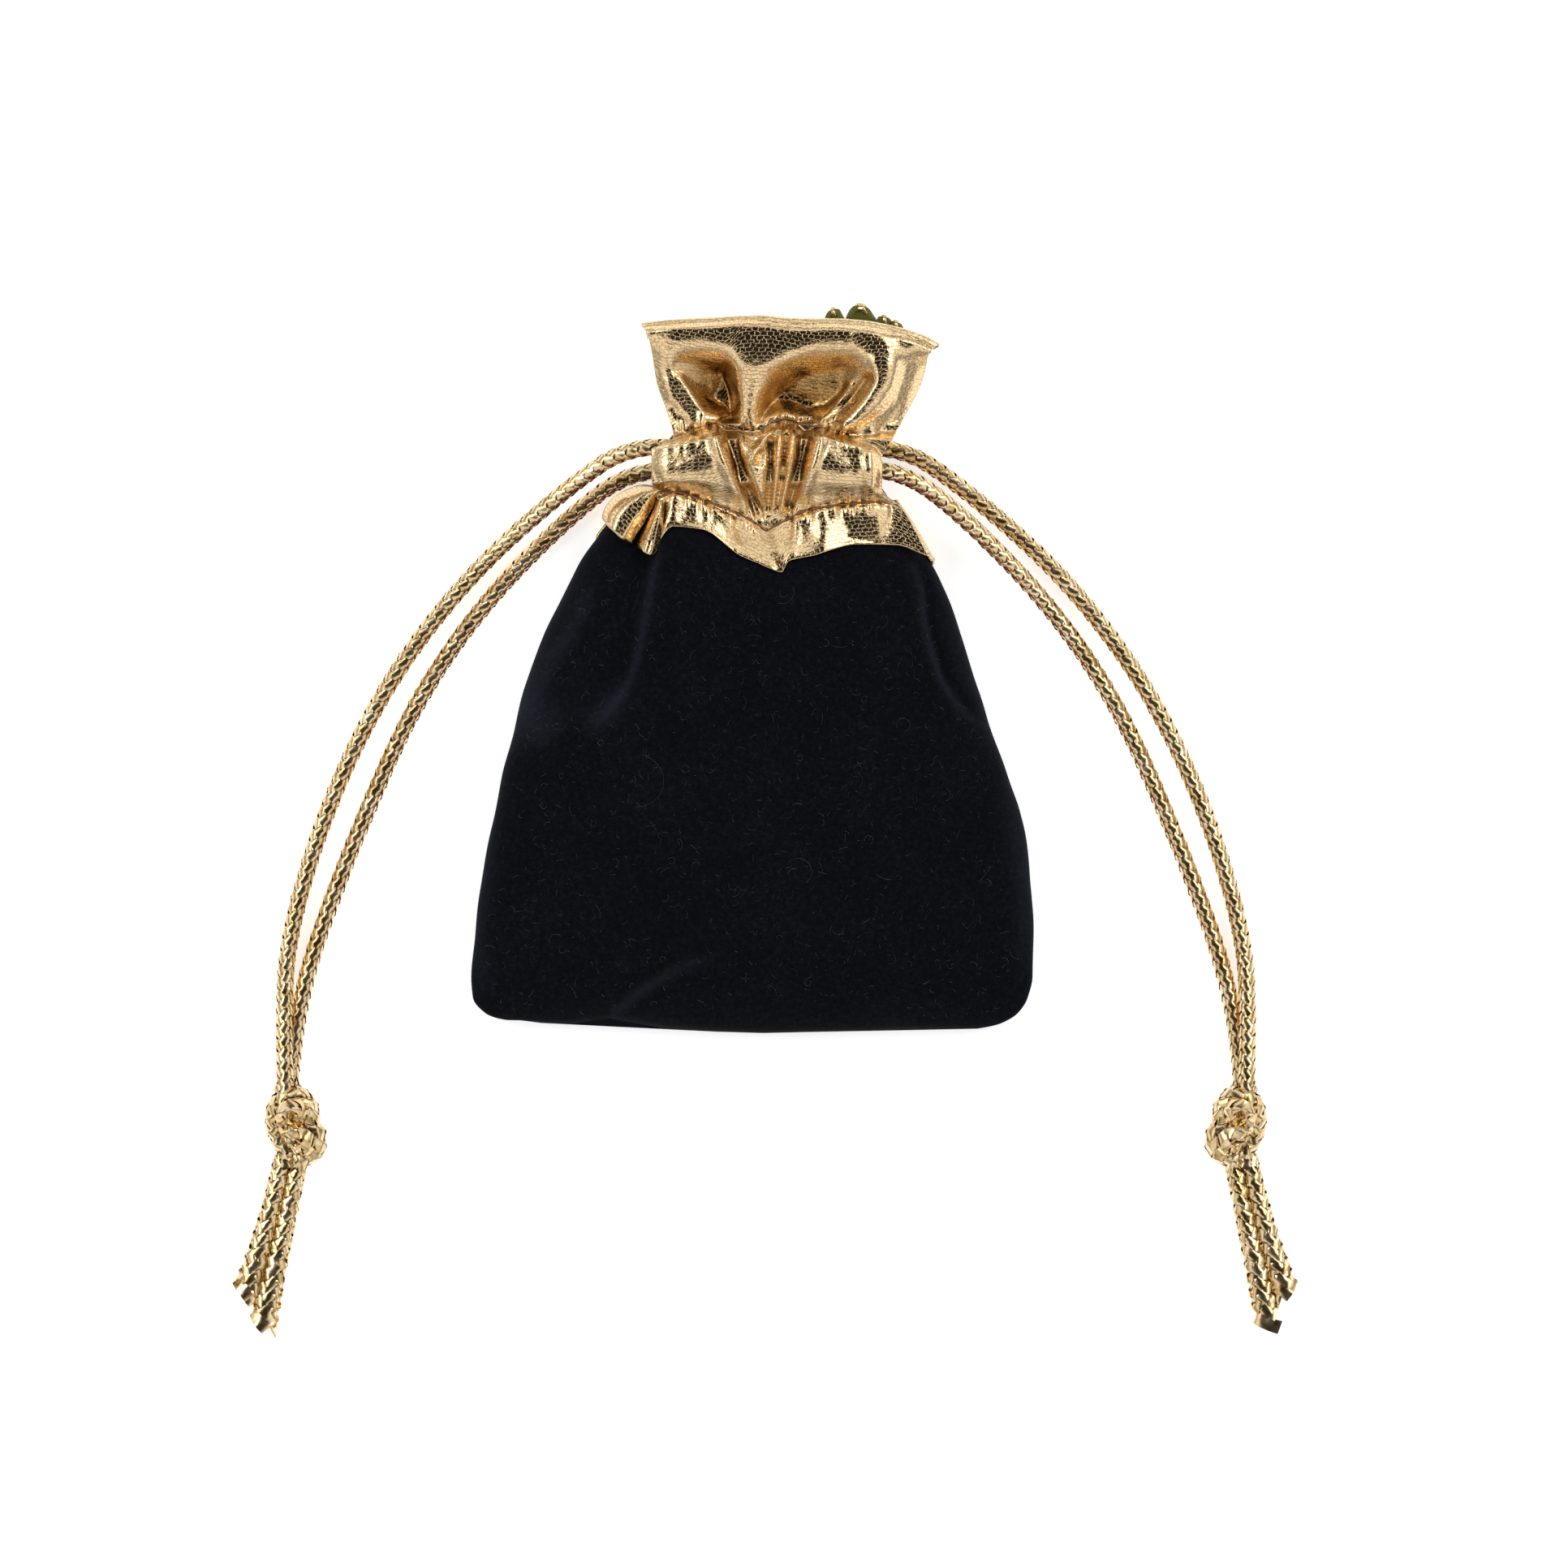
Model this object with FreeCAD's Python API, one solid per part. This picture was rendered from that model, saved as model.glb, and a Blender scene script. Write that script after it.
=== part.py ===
import FreeCAD, Part
import math
import os
from FreeCAD import Vector

# A small velvet pouch lying on its back, with its mouth towards +Y and its front face up.
# The origin is under the middle of the bag, on the surface that it lies on.

# Velvet pouch
WALL = 1.0
SEAM_Z = 2.6
POUCH_TOP = 22.2
POUCH_BOTTOM = -48.6
ALLOWANCE_DEPTH = 5.0
ALLOWANCE_HALF = 0.7
PUFFINESS = 2.5
# Stations down the pouch: y, left edge, right edge, floor height, crown height
STATIONS = [
    (POUCH_TOP, -17.8, 20.4, 1.10, 11.3),
    (16.0, -22.4, 23.6, 1.10, 12.2),
    (9.0, -26.2, 26.8, 0.30, 13.0),
    (0.0, -29.9, 30.0, -0.30, 13.4),
    (-9.0, -32.5, 32.8, -0.30, 13.0),
    (-19.0, -34.9, 36.3, -0.30, 11.9),
    (-29.0, -36.8, 37.8, -0.30, 10.0),
    (-37.0, -37.9, 38.1, -0.30, 7.8),
    (-43.0, -37.9, 37.8, -0.30, 5.8),
    (-46.4, -36.0, 36.2, -0.30, 4.6),
    (POUCH_BOTTOM, -31.0, 31.5, -0.10, 3.7),
]
CAVITY_STATIONS = 9

# Gold collar
CLOTH = 0.45
COLLAR_GAP = 0.10
HEM_THICK = 0.9
PLEAT_THICK = 1.6
CHANNEL_TOP = 31.9
CHANNEL_START = POUCH_TOP + 0.2
NECK_LEFT = -13.2
NECK_RIGHT = 17.4
BACK_CHANNEL_Z = 0.3
FRONT_CHANNEL_Z = 8.8
PLEAT_RISE = 0.5
PLEAT_PITCH = 10.4
RUFFLE_START = 32.6
RUFFLE_THICK = 1.4
THREAD = 0.3
THREAD_WIDTH = 0.5

# Drawcords
CORD_D = 2.2
CORD_ROOM = 0.1
PULL_TRAVEL = 4.0
OUTER_LEG_Y = 30.0
INNER_LEG_Y = 27.0
SLOT_HEIGHT = CORD_D + 2 * CORD_ROOM
SLOT_LOW_Y = INNER_LEG_Y - CORD_D / 2 - 0.2
SLOT_HIGH_Y = OUTER_LEG_Y + CORD_D / 2 + 0.2
CHANNEL_HEIGHT = SLOT_HEIGHT + 2 * CLOTH
BACK_LEG_Z = BACK_CHANNEL_Z + CHANNEL_HEIGHT / 2
FRONT_LEG_Z = FRONT_CHANNEL_Z + CHANNEL_HEIGHT / 2
TURN_X = 11.2
STRAND_START_X = -11.0
MIRROR_X = 1.9
TABLE_Z = CORD_D / 2 + 0.02

# Routes of the left cord's two strands on the table, from the channel to the knot
OUTER_ROUTE = [
    (STRAND_START_X, OUTER_LEG_Y),
    (-17.0, OUTER_LEG_Y),
    (-25.2, 24.6),
    (-38.4, 13.2),
    (-49.4, -1.2),
    (-57.5, -17.8),
    (-62.9, -35.6),
    (-63.4, -47.6),
    (-63.1, -56.6),
]
INNER_ROUTE = [
    (STRAND_START_X, INNER_LEG_Y),
    (-16.9, INNER_LEG_Y),
    (-25.2, 20.6),
    (-36.8, 8.9),
    (-45.7, -4.2),
    (-52.6, -19.6),
    (-59.0, -36.2),
    (-61.9, -47.4),
    (-62.6, -56.2),
]
FROM_FRONT = [FRONT_LEG_Z, FRONT_LEG_Z, 6.0, 1.35, TABLE_Z, TABLE_Z]
FROM_BACK = [BACK_LEG_Z, BACK_LEG_Z, 1.35, TABLE_Z, TABLE_Z, TABLE_Z]
OVER_END = [1.4, 3.2, 3.5]
UNDER_END = [TABLE_Z, TABLE_Z, 1.3]

# Knots and frayed tails of the left cord: centre or end, and half sizes
KNOT_LOBES = [
    ((-62.4, -59.5, 2.9), (3.6, 4.4, 2.85)),
    ((-60.6, -63.7, 2.6), (2.9, 3.8, 2.5)),
]
TAILS = {
    "outer": ((-63.4, -65.0), (-69.0, -85.6)),
    "inner": ((-61.0, -65.6), (-66.6, -89.6)),
}
TAIL_SECTIONS = [(0.0, 1.15, 1.05), (0.5, 1.40, 1.00), (1.0, 1.75, 0.75)]


def spline(points):
    curve = Part.BSplineCurve()
    curve.interpolate([Vector(*p) for p in points])
    return curve.toShape()


def line(start, end):
    return Part.LineSegment(Vector(*start), Vector(*end)).toShape()


def box(low, high):
    size = [h - l for l, h in zip(low, high)]
    return Part.makeBox(size[0], size[1], size[2], Vector(*low))


def prism(outline, low_z, high_z):
    """A straight-sided solid over a closed plan outline."""
    corners = [Vector(x, y, low_z) for x, y in outline]
    face = Part.Face(Part.makePolygon(corners + corners[:1]))
    return face.extrude(Vector(0, 0, high_z - low_z))


def curved_prism(straight, curved, low_z, high_z):
    """A solid whose plan is an open polyline closed by one smooth curve."""
    corners = [Vector(x, y, low_z) for x, y in straight]
    edges = list(Part.makePolygon(corners).Edges)
    edges.append(spline([(x, y, low_z) for x, y in curved]))
    return Part.Face(Part.Wire(edges)).extrude(Vector(0, 0, high_z - low_z))


def half_section(y, left, right, tip_z, peak_z):
    """One puffed arc from the left edge over the peak to the right edge."""
    middle = (left + right) / 2
    half = (right - left) / 2
    points = []
    for step in range(13):
        angle = math.pi * step / 12
        cosine = math.cos(angle)
        sine = abs(math.sin(angle)) if 0 < step < 12 else 0.0
        x = middle - half * math.copysign(abs(cosine) ** (2 / PUFFINESS), cosine)
        z = tip_z + (peak_z - tip_z) * sine ** (2 / PUFFINESS)
        points.append((x, y, z))
    return points


def pouch_section(y, left, right, floor, crown):
    over = spline(half_section(y, left, right, SEAM_Z, crown))
    under = spline(half_section(y, left, right, SEAM_Z, floor))
    return Part.Wire([over, under])


def pouch_solid(grow, stations):
    sections = []
    for y, left, right, floor, crown in stations:
        sections.append(pouch_section(y, left - grow, right + grow, floor - grow, crown + grow))
    return Part.makeLoft(sections, True, False)


def cavity():
    """The pocket: the pouch drawn in by the wall, stopping short of the bottom seam."""
    inner = [list(s) for s in STATIONS[:CAVITY_STATIONS]]
    inner[0][0] += 0.5
    last = list(inner[-1])
    last[0] -= 2.4
    last[1] += 1.6
    last[2] -= 1.6
    last[4] -= 0.7
    return pouch_solid(-WALL, inner + [last])


def above_seam():
    return box((-60, -70, SEAM_Z + 0.02), (60, 70, 40))


def below_seam():
    return box((-60, -70, -20), (60, 70, SEAM_Z))


def make_panels(parts):
    """Front and back velvet, with the back pressed flat where the bag lies on it."""
    shell = pouch_solid(0.0, STATIONS).cut(cavity()).cut(box((-60, -70, -5), (60, 70, 0)))
    parts["velvet_front_panel"] = shell.common(above_seam())
    parts["velvet_back_panel"] = shell.common(below_seam())


def make_seam_allowances(parts):
    """Turned-in cloth edges, which stand round the inside of the pocket at the seam."""
    room = cavity()
    low = SEAM_Z - ALLOWANCE_HALF
    high = SEAM_Z + ALLOWANCE_HALF
    left_line = [(s[1] + WALL + ALLOWANCE_DEPTH, s[0]) for s in STATIONS[1:9]]
    right_line = [(s[2] - WALL - ALLOWANCE_DEPTH, s[0]) for s in STATIONS[1:9]]
    left_strip = prism([(-50, 16), (-50, -43)] + left_line[::-1], low, high)
    right_strip = prism([(50, 16), (50, -43)] + right_line[::-1], low, high)
    bottom_strip = box((-60, -49, low), (60, -43.1, high))
    parts["left_seam_allowance"] = left_strip.common(room)
    parts["right_seam_allowance"] = right_strip.common(room)
    parts["bottom_seam_allowance"] = bottom_strip.common(room)


def make_hems(parts):
    """Collar cloth that overlaps the velvet: a V-shaped front edge, a left pleat and the back."""
    velvet = pouch_solid(COLLAR_GAP, STATIONS)
    skin = pouch_solid(HEM_THICK + COLLAR_GAP, STATIONS).cut(velvet)
    thick_skin = pouch_solid(PLEAT_THICK, STATIONS).cut(velvet)
    front_edge = [
        (-12.6, 16.8),
        (-11.0, 19.4),
        (-6.6, 18.9),
        (-1.0, 15.9),
        (3.8, 13.4),
        (8.0, 15.9),
        (16.0, 17.2),
        (26.5, 15.2),
    ]
    front = prism([(26.5, 30), (-12.6, 30)] + front_edge, SEAM_Z + 0.05, 20)
    pleat = prism([(-13.0, 30), (-24, 30), (-24, 19.6), (-16.2, 15.4), (-13.0, 16.6)], SEAM_Z + 0.05, 20)
    back = box((-30, 15.5, -5), (30, 30, SEAM_Z - 0.05))
    parts["front_hem"] = skin.common(front)
    parts["left_hem_pleat"] = thick_skin.common(pleat)
    parts["back_hem"] = skin.common(back)


def pleat_height(x):
    """Soft gathers across the neck: how far the cloth rises above its base."""
    return PLEAT_RISE * (1 - math.cos(2 * math.pi * (x - NECK_LEFT) / PLEAT_PITCH)) / 2


def gathered_slab(low_z, high_z, y_low, y_high):
    """A slab along Y with its upper side gathered into soft pleats."""
    left = NECK_LEFT - 2
    right = NECK_RIGHT + 5
    count = 18
    xs = [left + (right - left) * i / count for i in range(count + 1)]
    top = spline([(x, y_low, high_z + pleat_height(x)) for x in xs])
    start = (left, y_low, high_z + pleat_height(left))
    end = (right, y_low, high_z + pleat_height(right))
    sides = [
        line(end, (right, y_low, low_z)),
        line((right, y_low, low_z), (left, y_low, low_z)),
        line((left, y_low, low_z), start),
    ]
    return Part.Face(Part.Wire([top] + sides)).extrude(Vector(0, y_high - y_low, 0))


def channel_plan(low_z, high_z):
    outline = [
        (NECK_LEFT, CHANNEL_START),
        (NECK_RIGHT + 2.6, CHANNEL_START),
        (NECK_RIGHT, CHANNEL_START + 3.4),
        (NECK_RIGHT, CHANNEL_TOP),
        (NECK_LEFT, CHANNEL_TOP),
    ]
    return prism(outline, low_z, high_z)


def cord_slot(middle_z, throat_side):
    """The tunnel for both cords, open to the throat where each cord turns and travels."""
    low_z = middle_z - SLOT_HEIGHT / 2
    high_z = middle_z + SLOT_HEIGHT / 2
    tunnel = box((-40, SLOT_LOW_Y, low_z), (40, SLOT_HIGH_Y, high_z))
    low_z = min(low_z, low_z + throat_side)
    high_z = max(high_z, high_z + throat_side)
    right_end = TURN_X - PULL_TRAVEL + 0.4
    left_end = 2 * MIRROR_X - right_end
    right_room = box((right_end, SLOT_LOW_Y, low_z), (40, SLOT_HIGH_Y, high_z))
    left_room = box((-40, SLOT_LOW_Y, low_z), (left_end, SLOT_HIGH_Y, high_z))
    return tunnel.fuse(right_room).fuse(left_room)


def make_channels(parts):
    """Two flat sleeves, front and back, which hold both cords side by side."""
    top_z = FRONT_CHANNEL_Z + CHANNEL_HEIGHT
    front = gathered_slab(FRONT_CHANNEL_Z, top_z, CHANNEL_START, CHANNEL_TOP)
    front = front.common(channel_plan(FRONT_CHANNEL_Z - 1, top_z + 2))
    parts["front_channel"] = front.cut(cord_slot(FRONT_LEG_Z, -1))
    back = channel_plan(BACK_CHANNEL_Z, BACK_CHANNEL_Z + CHANNEL_HEIGHT)
    parts["back_channel"] = back.cut(cord_slot(BACK_LEG_Z, 1))


def front_thread(y_low):
    base = FRONT_CHANNEL_Z + CHANNEL_HEIGHT
    over = gathered_slab(base - 1, base + THREAD, y_low, y_low + THREAD_WIDTH)
    under = gathered_slab(base - 2, base, y_low - 1, y_low + THREAD_WIDTH + 1)
    reach = box((NECK_LEFT, y_low - 1, 0), (NECK_RIGHT, y_low + 2, 30))
    return over.cut(under).common(reach)


def back_thread(y_low):
    return box((NECK_LEFT, y_low, 0.0), (NECK_RIGHT, y_low + THREAD_WIDTH, BACK_CHANNEL_Z))


def make_stitching(parts):
    upper_y = CHANNEL_TOP - THREAD_WIDTH
    lower_y = CHANNEL_START + 0.1
    parts["front_upper_stitching"] = front_thread(upper_y)
    parts["front_lower_stitching"] = front_thread(lower_y)
    parts["back_upper_stitching"] = back_thread(upper_y)
    parts["back_lower_stitching"] = back_thread(lower_y)


def ruffle_section(y, left, right, middle_z, dips):
    """A section of the loose ruffle: a sheet that dips between its ridges."""
    count = 12
    low = []
    high = []
    for i in range(count + 1):
        share = i / count
        x = left + (right - left) * share
        dip = dips * math.sin(2 * math.pi * share) ** 2
        low.append((x, y, middle_z - dip - RUFFLE_THICK / 2))
        high.append((x, y, middle_z - dip + RUFFLE_THICK / 2))
    edges = [spline(low), line(low[-1], high[-1]), spline(high), line(high[0], low[0])]
    return Part.Wire(edges)


def make_ruffles(parts):
    """The loose cloth round the mouth, one flap in front and one behind."""
    front_sheet = Part.makeLoft(
        [
            ruffle_section(RUFFLE_START, -18, 30, FRONT_CHANNEL_Z + 1.4, 0.0),
            ruffle_section(39.0, -18, 30, FRONT_CHANNEL_Z + 1.6, 1.4),
            ruffle_section(50.0, -18, 30, FRONT_CHANNEL_Z + 1.0, 0.5),
        ],
        True,
        False,
    )
    front_straight = [(25.1, 43.8), (17.8, RUFFLE_START), (-10.6, RUFFLE_START), (-14.7, 46.3)]
    front_top = [(-14.7, 46.3), (-8.0, 47.2), (1.0, 47.8), (12.0, 47.1), (20.5, 46.2), (25.1, 43.8)]
    front_plan = curved_prism(front_straight, front_top, 0, 30)
    parts["front_ruffle"] = front_sheet.common(front_plan)

    back_sheet = Part.makeLoft(
        [
            ruffle_section(CHANNEL_TOP + 0.1, -18, 30, 1.7, 0.0),
            ruffle_section(39.0, -18, 30, 1.5, 0.5),
            ruffle_section(50.5, -18, 30, 1.2, 0.0),
        ],
        True,
        False,
    )
    back_straight = [(24.4, 43.2), (17.2, CHANNEL_TOP + 0.1), (-10.4, CHANNEL_TOP + 0.1), (-13.9, 45.6)]
    back_top = [(-13.9, 45.6), (-4.0, 46.8), (6.0, 47.4), (14.0, 48.6), (20.0, 47.0), (24.4, 43.2)]
    back_plan = curved_prism(back_straight, back_top, -5, 30)
    parts["back_ruffle"] = back_sheet.common(back_plan)


def rounded_path(points):
    """Straight runs joined by tangent arcs, each as large as its two runs allow."""
    corners = [Vector(*p) for p in points]
    edges = []
    radii = []
    start = corners[0]
    for before, corner, after in zip(corners, corners[1:], corners[2:]):
        into = (corner - before).normalize()
        out = (after - corner).normalize()
        half_turn = into.getAngle(out) / 2
        setback = 0.45 * min((corner - before).Length, (after - corner).Length)
        radius = setback / math.tan(half_turn)
        first = corner - into * setback
        last = corner + out * setback
        inward = (out - into).normalize()
        middle = corner + inward * (radius / math.cos(half_turn) - radius)
        edges.append(Part.LineSegment(start, first).toShape())
        edges.append(Part.Arc(first, middle, last).toShape())
        radii.append(radius)
        start = last
    edges.append(Part.LineSegment(start, corners[-1]).toShape())
    return Part.Wire(edges), radii


def tube(path, start, direction):
    ring = Part.Wire(Part.makeCircle(CORD_D / 2, Vector(*start), Vector(*direction)))
    return path.makePipeShell([ring], True, False)


def strand(name, route, heights):
    points = [(x, y, z) for (x, y), z in zip(route, heights)]
    path, radii = rounded_path(points)
    solid = tube(path, points[0], (points[1][0] - points[0][0], 0, 0))
    expected = math.pi * CORD_D**2 / 4 * path.Length
    print(name, "length", round(path.Length, 1), "radii", [round(r, 1) for r in radii])
    print(name, "volume", round(solid.Volume, 1), "expected", round(expected, 1), solid.isValid())
    return solid


def held_loop(top_y, bottom_y):
    """The cord inside the channels: out along the front, round, and back behind."""
    centre = Vector(TURN_X, (top_y + bottom_y) / 2, (FRONT_LEG_Z + BACK_LEG_Z) / 2)
    front = Vector(TURN_X, top_y, FRONT_LEG_Z)
    back = Vector(TURN_X, bottom_y, BACK_LEG_Z)
    reach = (front - back).Length / 2
    edges = [
        Part.LineSegment(Vector(STRAND_START_X, top_y, FRONT_LEG_Z), front).toShape(),
        Part.Arc(front, centre + Vector(reach, 0, 0), back).toShape(),
        Part.LineSegment(back, Vector(STRAND_START_X, bottom_y, BACK_LEG_Z)).toShape(),
    ]
    return tube(Part.Wire(edges), (STRAND_START_X, top_y, FRONT_LEG_Z), (1, 0, 0))


def mirrored(points):
    return [(2 * MIRROR_X - p[0],) + tuple(p[1:]) for p in points]


def to_right(shape):
    return shape.mirror(Vector(MIRROR_X, 0, 0), Vector(1, 0, 0))


def knot():
    """The tied lump: two rounded lobes, side by side."""
    lobes = []
    for centre, half in KNOT_LOBES:
        scale = FreeCAD.Matrix()
        scale.scale(half[0], half[1], half[2])
        lobe = Part.makeSphere(1.0).transformGeometry(scale)
        lobe.translate(Vector(*centre))
        lobes.append(lobe)
    return lobes[0].fuse(lobes[1]).removeSplitter()


def tail(start, end):
    """A frayed end, round at the knot and spread flat at its tip."""
    along = Vector(end[0] - start[0], end[1] - start[1], 0)
    sideways = along.cross(Vector(0, 0, 1)).normalize()
    sections = []
    for share, half_width, half_height in TAIL_SECTIONS:
        x = start[0] + along.x * share
        y = start[1] + along.y * share
        centre = Vector(x, y, half_height + 0.05)
        curve = Part.Ellipse(centre + sideways * half_width, centre + Vector(0, 0, half_height), centre)
        sections.append(Part.Wire(curve.toShape()))
    return Part.makeLoft(sections, True, False)


def make_cords(parts):
    """Each cord runs through both channels and comes out at one side to its knot."""
    loop = held_loop(OUTER_LEG_Y, INNER_LEG_Y)
    parts["left_cord_loop"] = loop
    parts["right_cord_loop"] = to_right(held_loop(INNER_LEG_Y, OUTER_LEG_Y))
    over_front = FROM_FRONT + OVER_END
    over_back = FROM_BACK + OVER_END
    under_front = FROM_FRONT + UNDER_END
    under_back = FROM_BACK + UNDER_END
    parts["left_outer_strand"] = strand("left outer", OUTER_ROUTE, over_front)
    parts["left_inner_strand"] = strand("left inner", INNER_ROUTE, under_back)
    parts["right_outer_strand"] = strand("right outer", mirrored(OUTER_ROUTE), over_back)
    parts["right_inner_strand"] = strand("right inner", mirrored(INNER_ROUTE), under_front)
    parts["left_knot"] = knot()
    parts["right_knot"] = to_right(parts["left_knot"])
    for name, (start, end) in TAILS.items():
        parts["left_%s_tail" % name] = tail(start, end)
        parts["right_%s_tail" % name] = to_right(parts["left_%s_tail" % name])


def main():
    parts = {}
    make_panels(parts)
    make_seam_allowances(parts)
    make_hems(parts)
    make_channels(parts)
    make_stitching(parts)
    make_ruffles(parts)
    make_cords(parts)
    os.makedirs("parts", exist_ok=True)
    for name, shape in parts.items():
        shape.exportStep("parts/%s.step" % name)
        bounds = shape.BoundBox
        low = (round(bounds.XMin, 1), round(bounds.YMin, 1), round(bounds.ZMin, 2))
        high = (round(bounds.XMax, 1), round(bounds.YMax, 1), round(bounds.ZMax, 2))
        print(name, len(shape.Solids), shape.isValid(), round(shape.Volume, 1), low, high)


main()
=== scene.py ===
import math
import random

import bpy
import numpy as np
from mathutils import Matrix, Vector, noise


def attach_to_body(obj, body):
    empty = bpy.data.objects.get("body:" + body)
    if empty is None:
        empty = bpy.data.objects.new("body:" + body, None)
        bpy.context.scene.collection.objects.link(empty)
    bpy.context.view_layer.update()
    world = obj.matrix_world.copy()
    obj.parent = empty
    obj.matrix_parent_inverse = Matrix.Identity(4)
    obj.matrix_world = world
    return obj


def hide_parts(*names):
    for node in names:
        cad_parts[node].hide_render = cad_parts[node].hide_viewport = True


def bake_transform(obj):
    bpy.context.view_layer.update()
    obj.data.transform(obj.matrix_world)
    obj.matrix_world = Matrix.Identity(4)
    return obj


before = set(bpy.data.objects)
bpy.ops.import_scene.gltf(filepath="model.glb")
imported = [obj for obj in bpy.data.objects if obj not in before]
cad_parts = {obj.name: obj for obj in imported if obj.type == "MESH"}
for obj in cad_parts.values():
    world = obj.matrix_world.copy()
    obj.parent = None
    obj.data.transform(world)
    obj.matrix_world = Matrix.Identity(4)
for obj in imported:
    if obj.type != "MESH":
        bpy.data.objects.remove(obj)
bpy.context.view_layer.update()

MM = 0.001
UP = np.array([0.0, 0.0, 1.0])
rng = random.Random(7)


# ---------------------------------------------------------------- node materials

def new_material(name, **socket_values):
    """A Principled material with uniform values set on its own sockets."""
    material = bpy.data.materials.new(name)
    material.use_nodes = True
    shader = material.node_tree.nodes["Principled BSDF"]
    for socket, value in socket_values.items():
        shader.inputs[socket.replace("_", " ")].default_value = value
    return material, material.node_tree, shader


def add_node(tree, kind, inputs=None, **settings):
    node = tree.nodes.new(kind)
    for key, value in settings.items():
        setattr(node, key, value)
    for key, value in (inputs or {}).items():
        if isinstance(value, bpy.types.NodeSocket):
            tree.links.new(value, node.inputs[key])
        else:
            node.inputs[key].default_value = value
    return node


def ramp(tree, factor, stops):
    node = add_node(tree, "ShaderNodeValToRGB", {"Fac": factor})
    elements = node.color_ramp.elements
    while len(elements) < len(stops):
        elements.new(0.5)
    for element, (position, colour) in zip(elements, stops):
        element.position = position
        element.color = colour
    return node.outputs["Color"]


def maths(tree, operation, first, second=0.0):
    return add_node(tree, "ShaderNodeMath", {0: first, 1: second}, operation=operation).outputs[0]


def scaled(tree, value, factor, offset=0.0):
    """value times factor, plus offset."""
    return maths(tree, "ADD", maths(tree, "MULTIPLY", value, factor), offset)


def noise_tone(tree, place, scale, detail=2.0, **inputs):
    inputs = {"Vector": place, "Scale": scale, "Detail": detail, **inputs}
    return add_node(tree, "ShaderNodeTexNoise", inputs).outputs["Fac"]


def object_place(tree):
    return add_node(tree, "ShaderNodeTexCoord").outputs["Object"]


def uv_place(tree, layer):
    return add_node(tree, "ShaderNodeUVMap", uv_map=layer).outputs["UV"]


def uv_amount(tree, layer):
    """The amount that a UV map holds as its first value."""
    return add_node(tree, "ShaderNodeSeparateXYZ", {"Vector": uv_place(tree, layer)}).outputs["X"]


def mixed_colour(tree, share, first, second, **settings):
    inputs = {0: share, 6: first, 7: second}
    return add_node(tree, "ShaderNodeMix", inputs, data_type="RGBA", **settings).outputs[2]


def grey(level):
    return (level, level, level, 1)


def bump(tree, shader, height, strength, distance, under=None):
    inputs = {"Height": height, "Strength": strength, "Distance": distance}
    if under is not None:
        inputs["Normal"] = under
    node = add_node(tree, "ShaderNodeBump", inputs)
    tree.links.new(node.outputs["Normal"], shader.inputs["Normal"])
    return node.outputs["Normal"]


def gold_foil_knit():
    """Foil-coated knit: fine courses, crackled foil, browner in its cracks, and darkened deep in the folds by
    painted shade.
    """
    material, tree, shader = new_material("gold_foil_knit", Metallic=1.0, Specular_IOR_Level=0.6)
    cloth = uv_place(tree, "cloth")
    warp = add_node(tree, "ShaderNodeTexNoise", {"Vector": cloth, "Scale": 1.3, "Detail": 4.0})
    shove = add_node(tree, "ShaderNodeVectorMath", {0: warp.outputs["Color"], 3: 0.75}, operation="SCALE")
    shoved = {0: cloth, 1: shove.outputs[0]}
    bent = add_node(tree, "ShaderNodeVectorMath", shoved, operation="ADD").outputs[0]
    knit = add_node(
        tree, "ShaderNodeTexBrick",
        {"Vector": bent, "Scale": 1.0, "Mortar Size": 0.06, "Mortar Smooth": 0.8, "Brick Width": 0.85,
         "Row Height": 0.55, "Color1": grey(1), "Color2": grey(0.75), "Mortar": grey(0)},
    )
    edges = {"Vector": bent, "Scale": 1.7}
    crackle = add_node(tree, "ShaderNodeTexVoronoi", edges, feature="DISTANCE_TO_EDGE")
    cracks = ramp(tree, crackle.outputs["Distance"], [(0.0, grey(0.35)), (0.035, grey(1))])
    grain = noise_tone(tree, cloth, 3.2, 5.0)
    foil = ramp(tree, grain, [
        (0.30, (0.70, 0.46, 0.20, 1)), (0.52, (0.90, 0.66, 0.37, 1)), (0.72, (0.98, 0.81, 0.55, 1)),
    ])
    # Less foil in the cracks and between the stitches of the knit
    gaps = maths(tree, "SUBTRACT", 1.0, maths(tree, "MULTIPLY", knit.outputs["Fac"], 0.42))
    covered = maths(tree, "MULTIPLY", scaled(tree, cracks, 0.40, 0.60), gaps)
    worn = mixed_colour(tree, covered, (0.24, 0.14, 0.045, 1), foil)
    # Painted shade: the colour is multiplied darker by how deep in a fold each point lies
    depth = uv_amount(tree, "fold_depth")
    fold_shaded_colour = mixed_colour(tree, depth, worn, (0.48, 0.39, 0.26, 1), blend_type="MULTIPLY")
    tree.links.new(fold_shaded_colour, shader.inputs["Base Color"])
    tree.links.new(scaled(tree, grain, 0.15, 0.05), shader.inputs["Roughness"])
    fine = bump(tree, shader, knit.outputs["Color"], 0.35, 0.00005)
    stretched = add_node(tree, "ShaderNodeMapping", {"Vector": bent, "Scale": (0.8, 1.8, 1.0)})
    courses = bump(tree, shader, noise_tone(tree, stretched.outputs["Vector"], 1.0), 0.28, 0.00030, fine)
    bump(tree, shader, noise_tone(tree, cloth, 1.1, 5.0), 0.20, 0.00020, courses)
    return material


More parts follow.
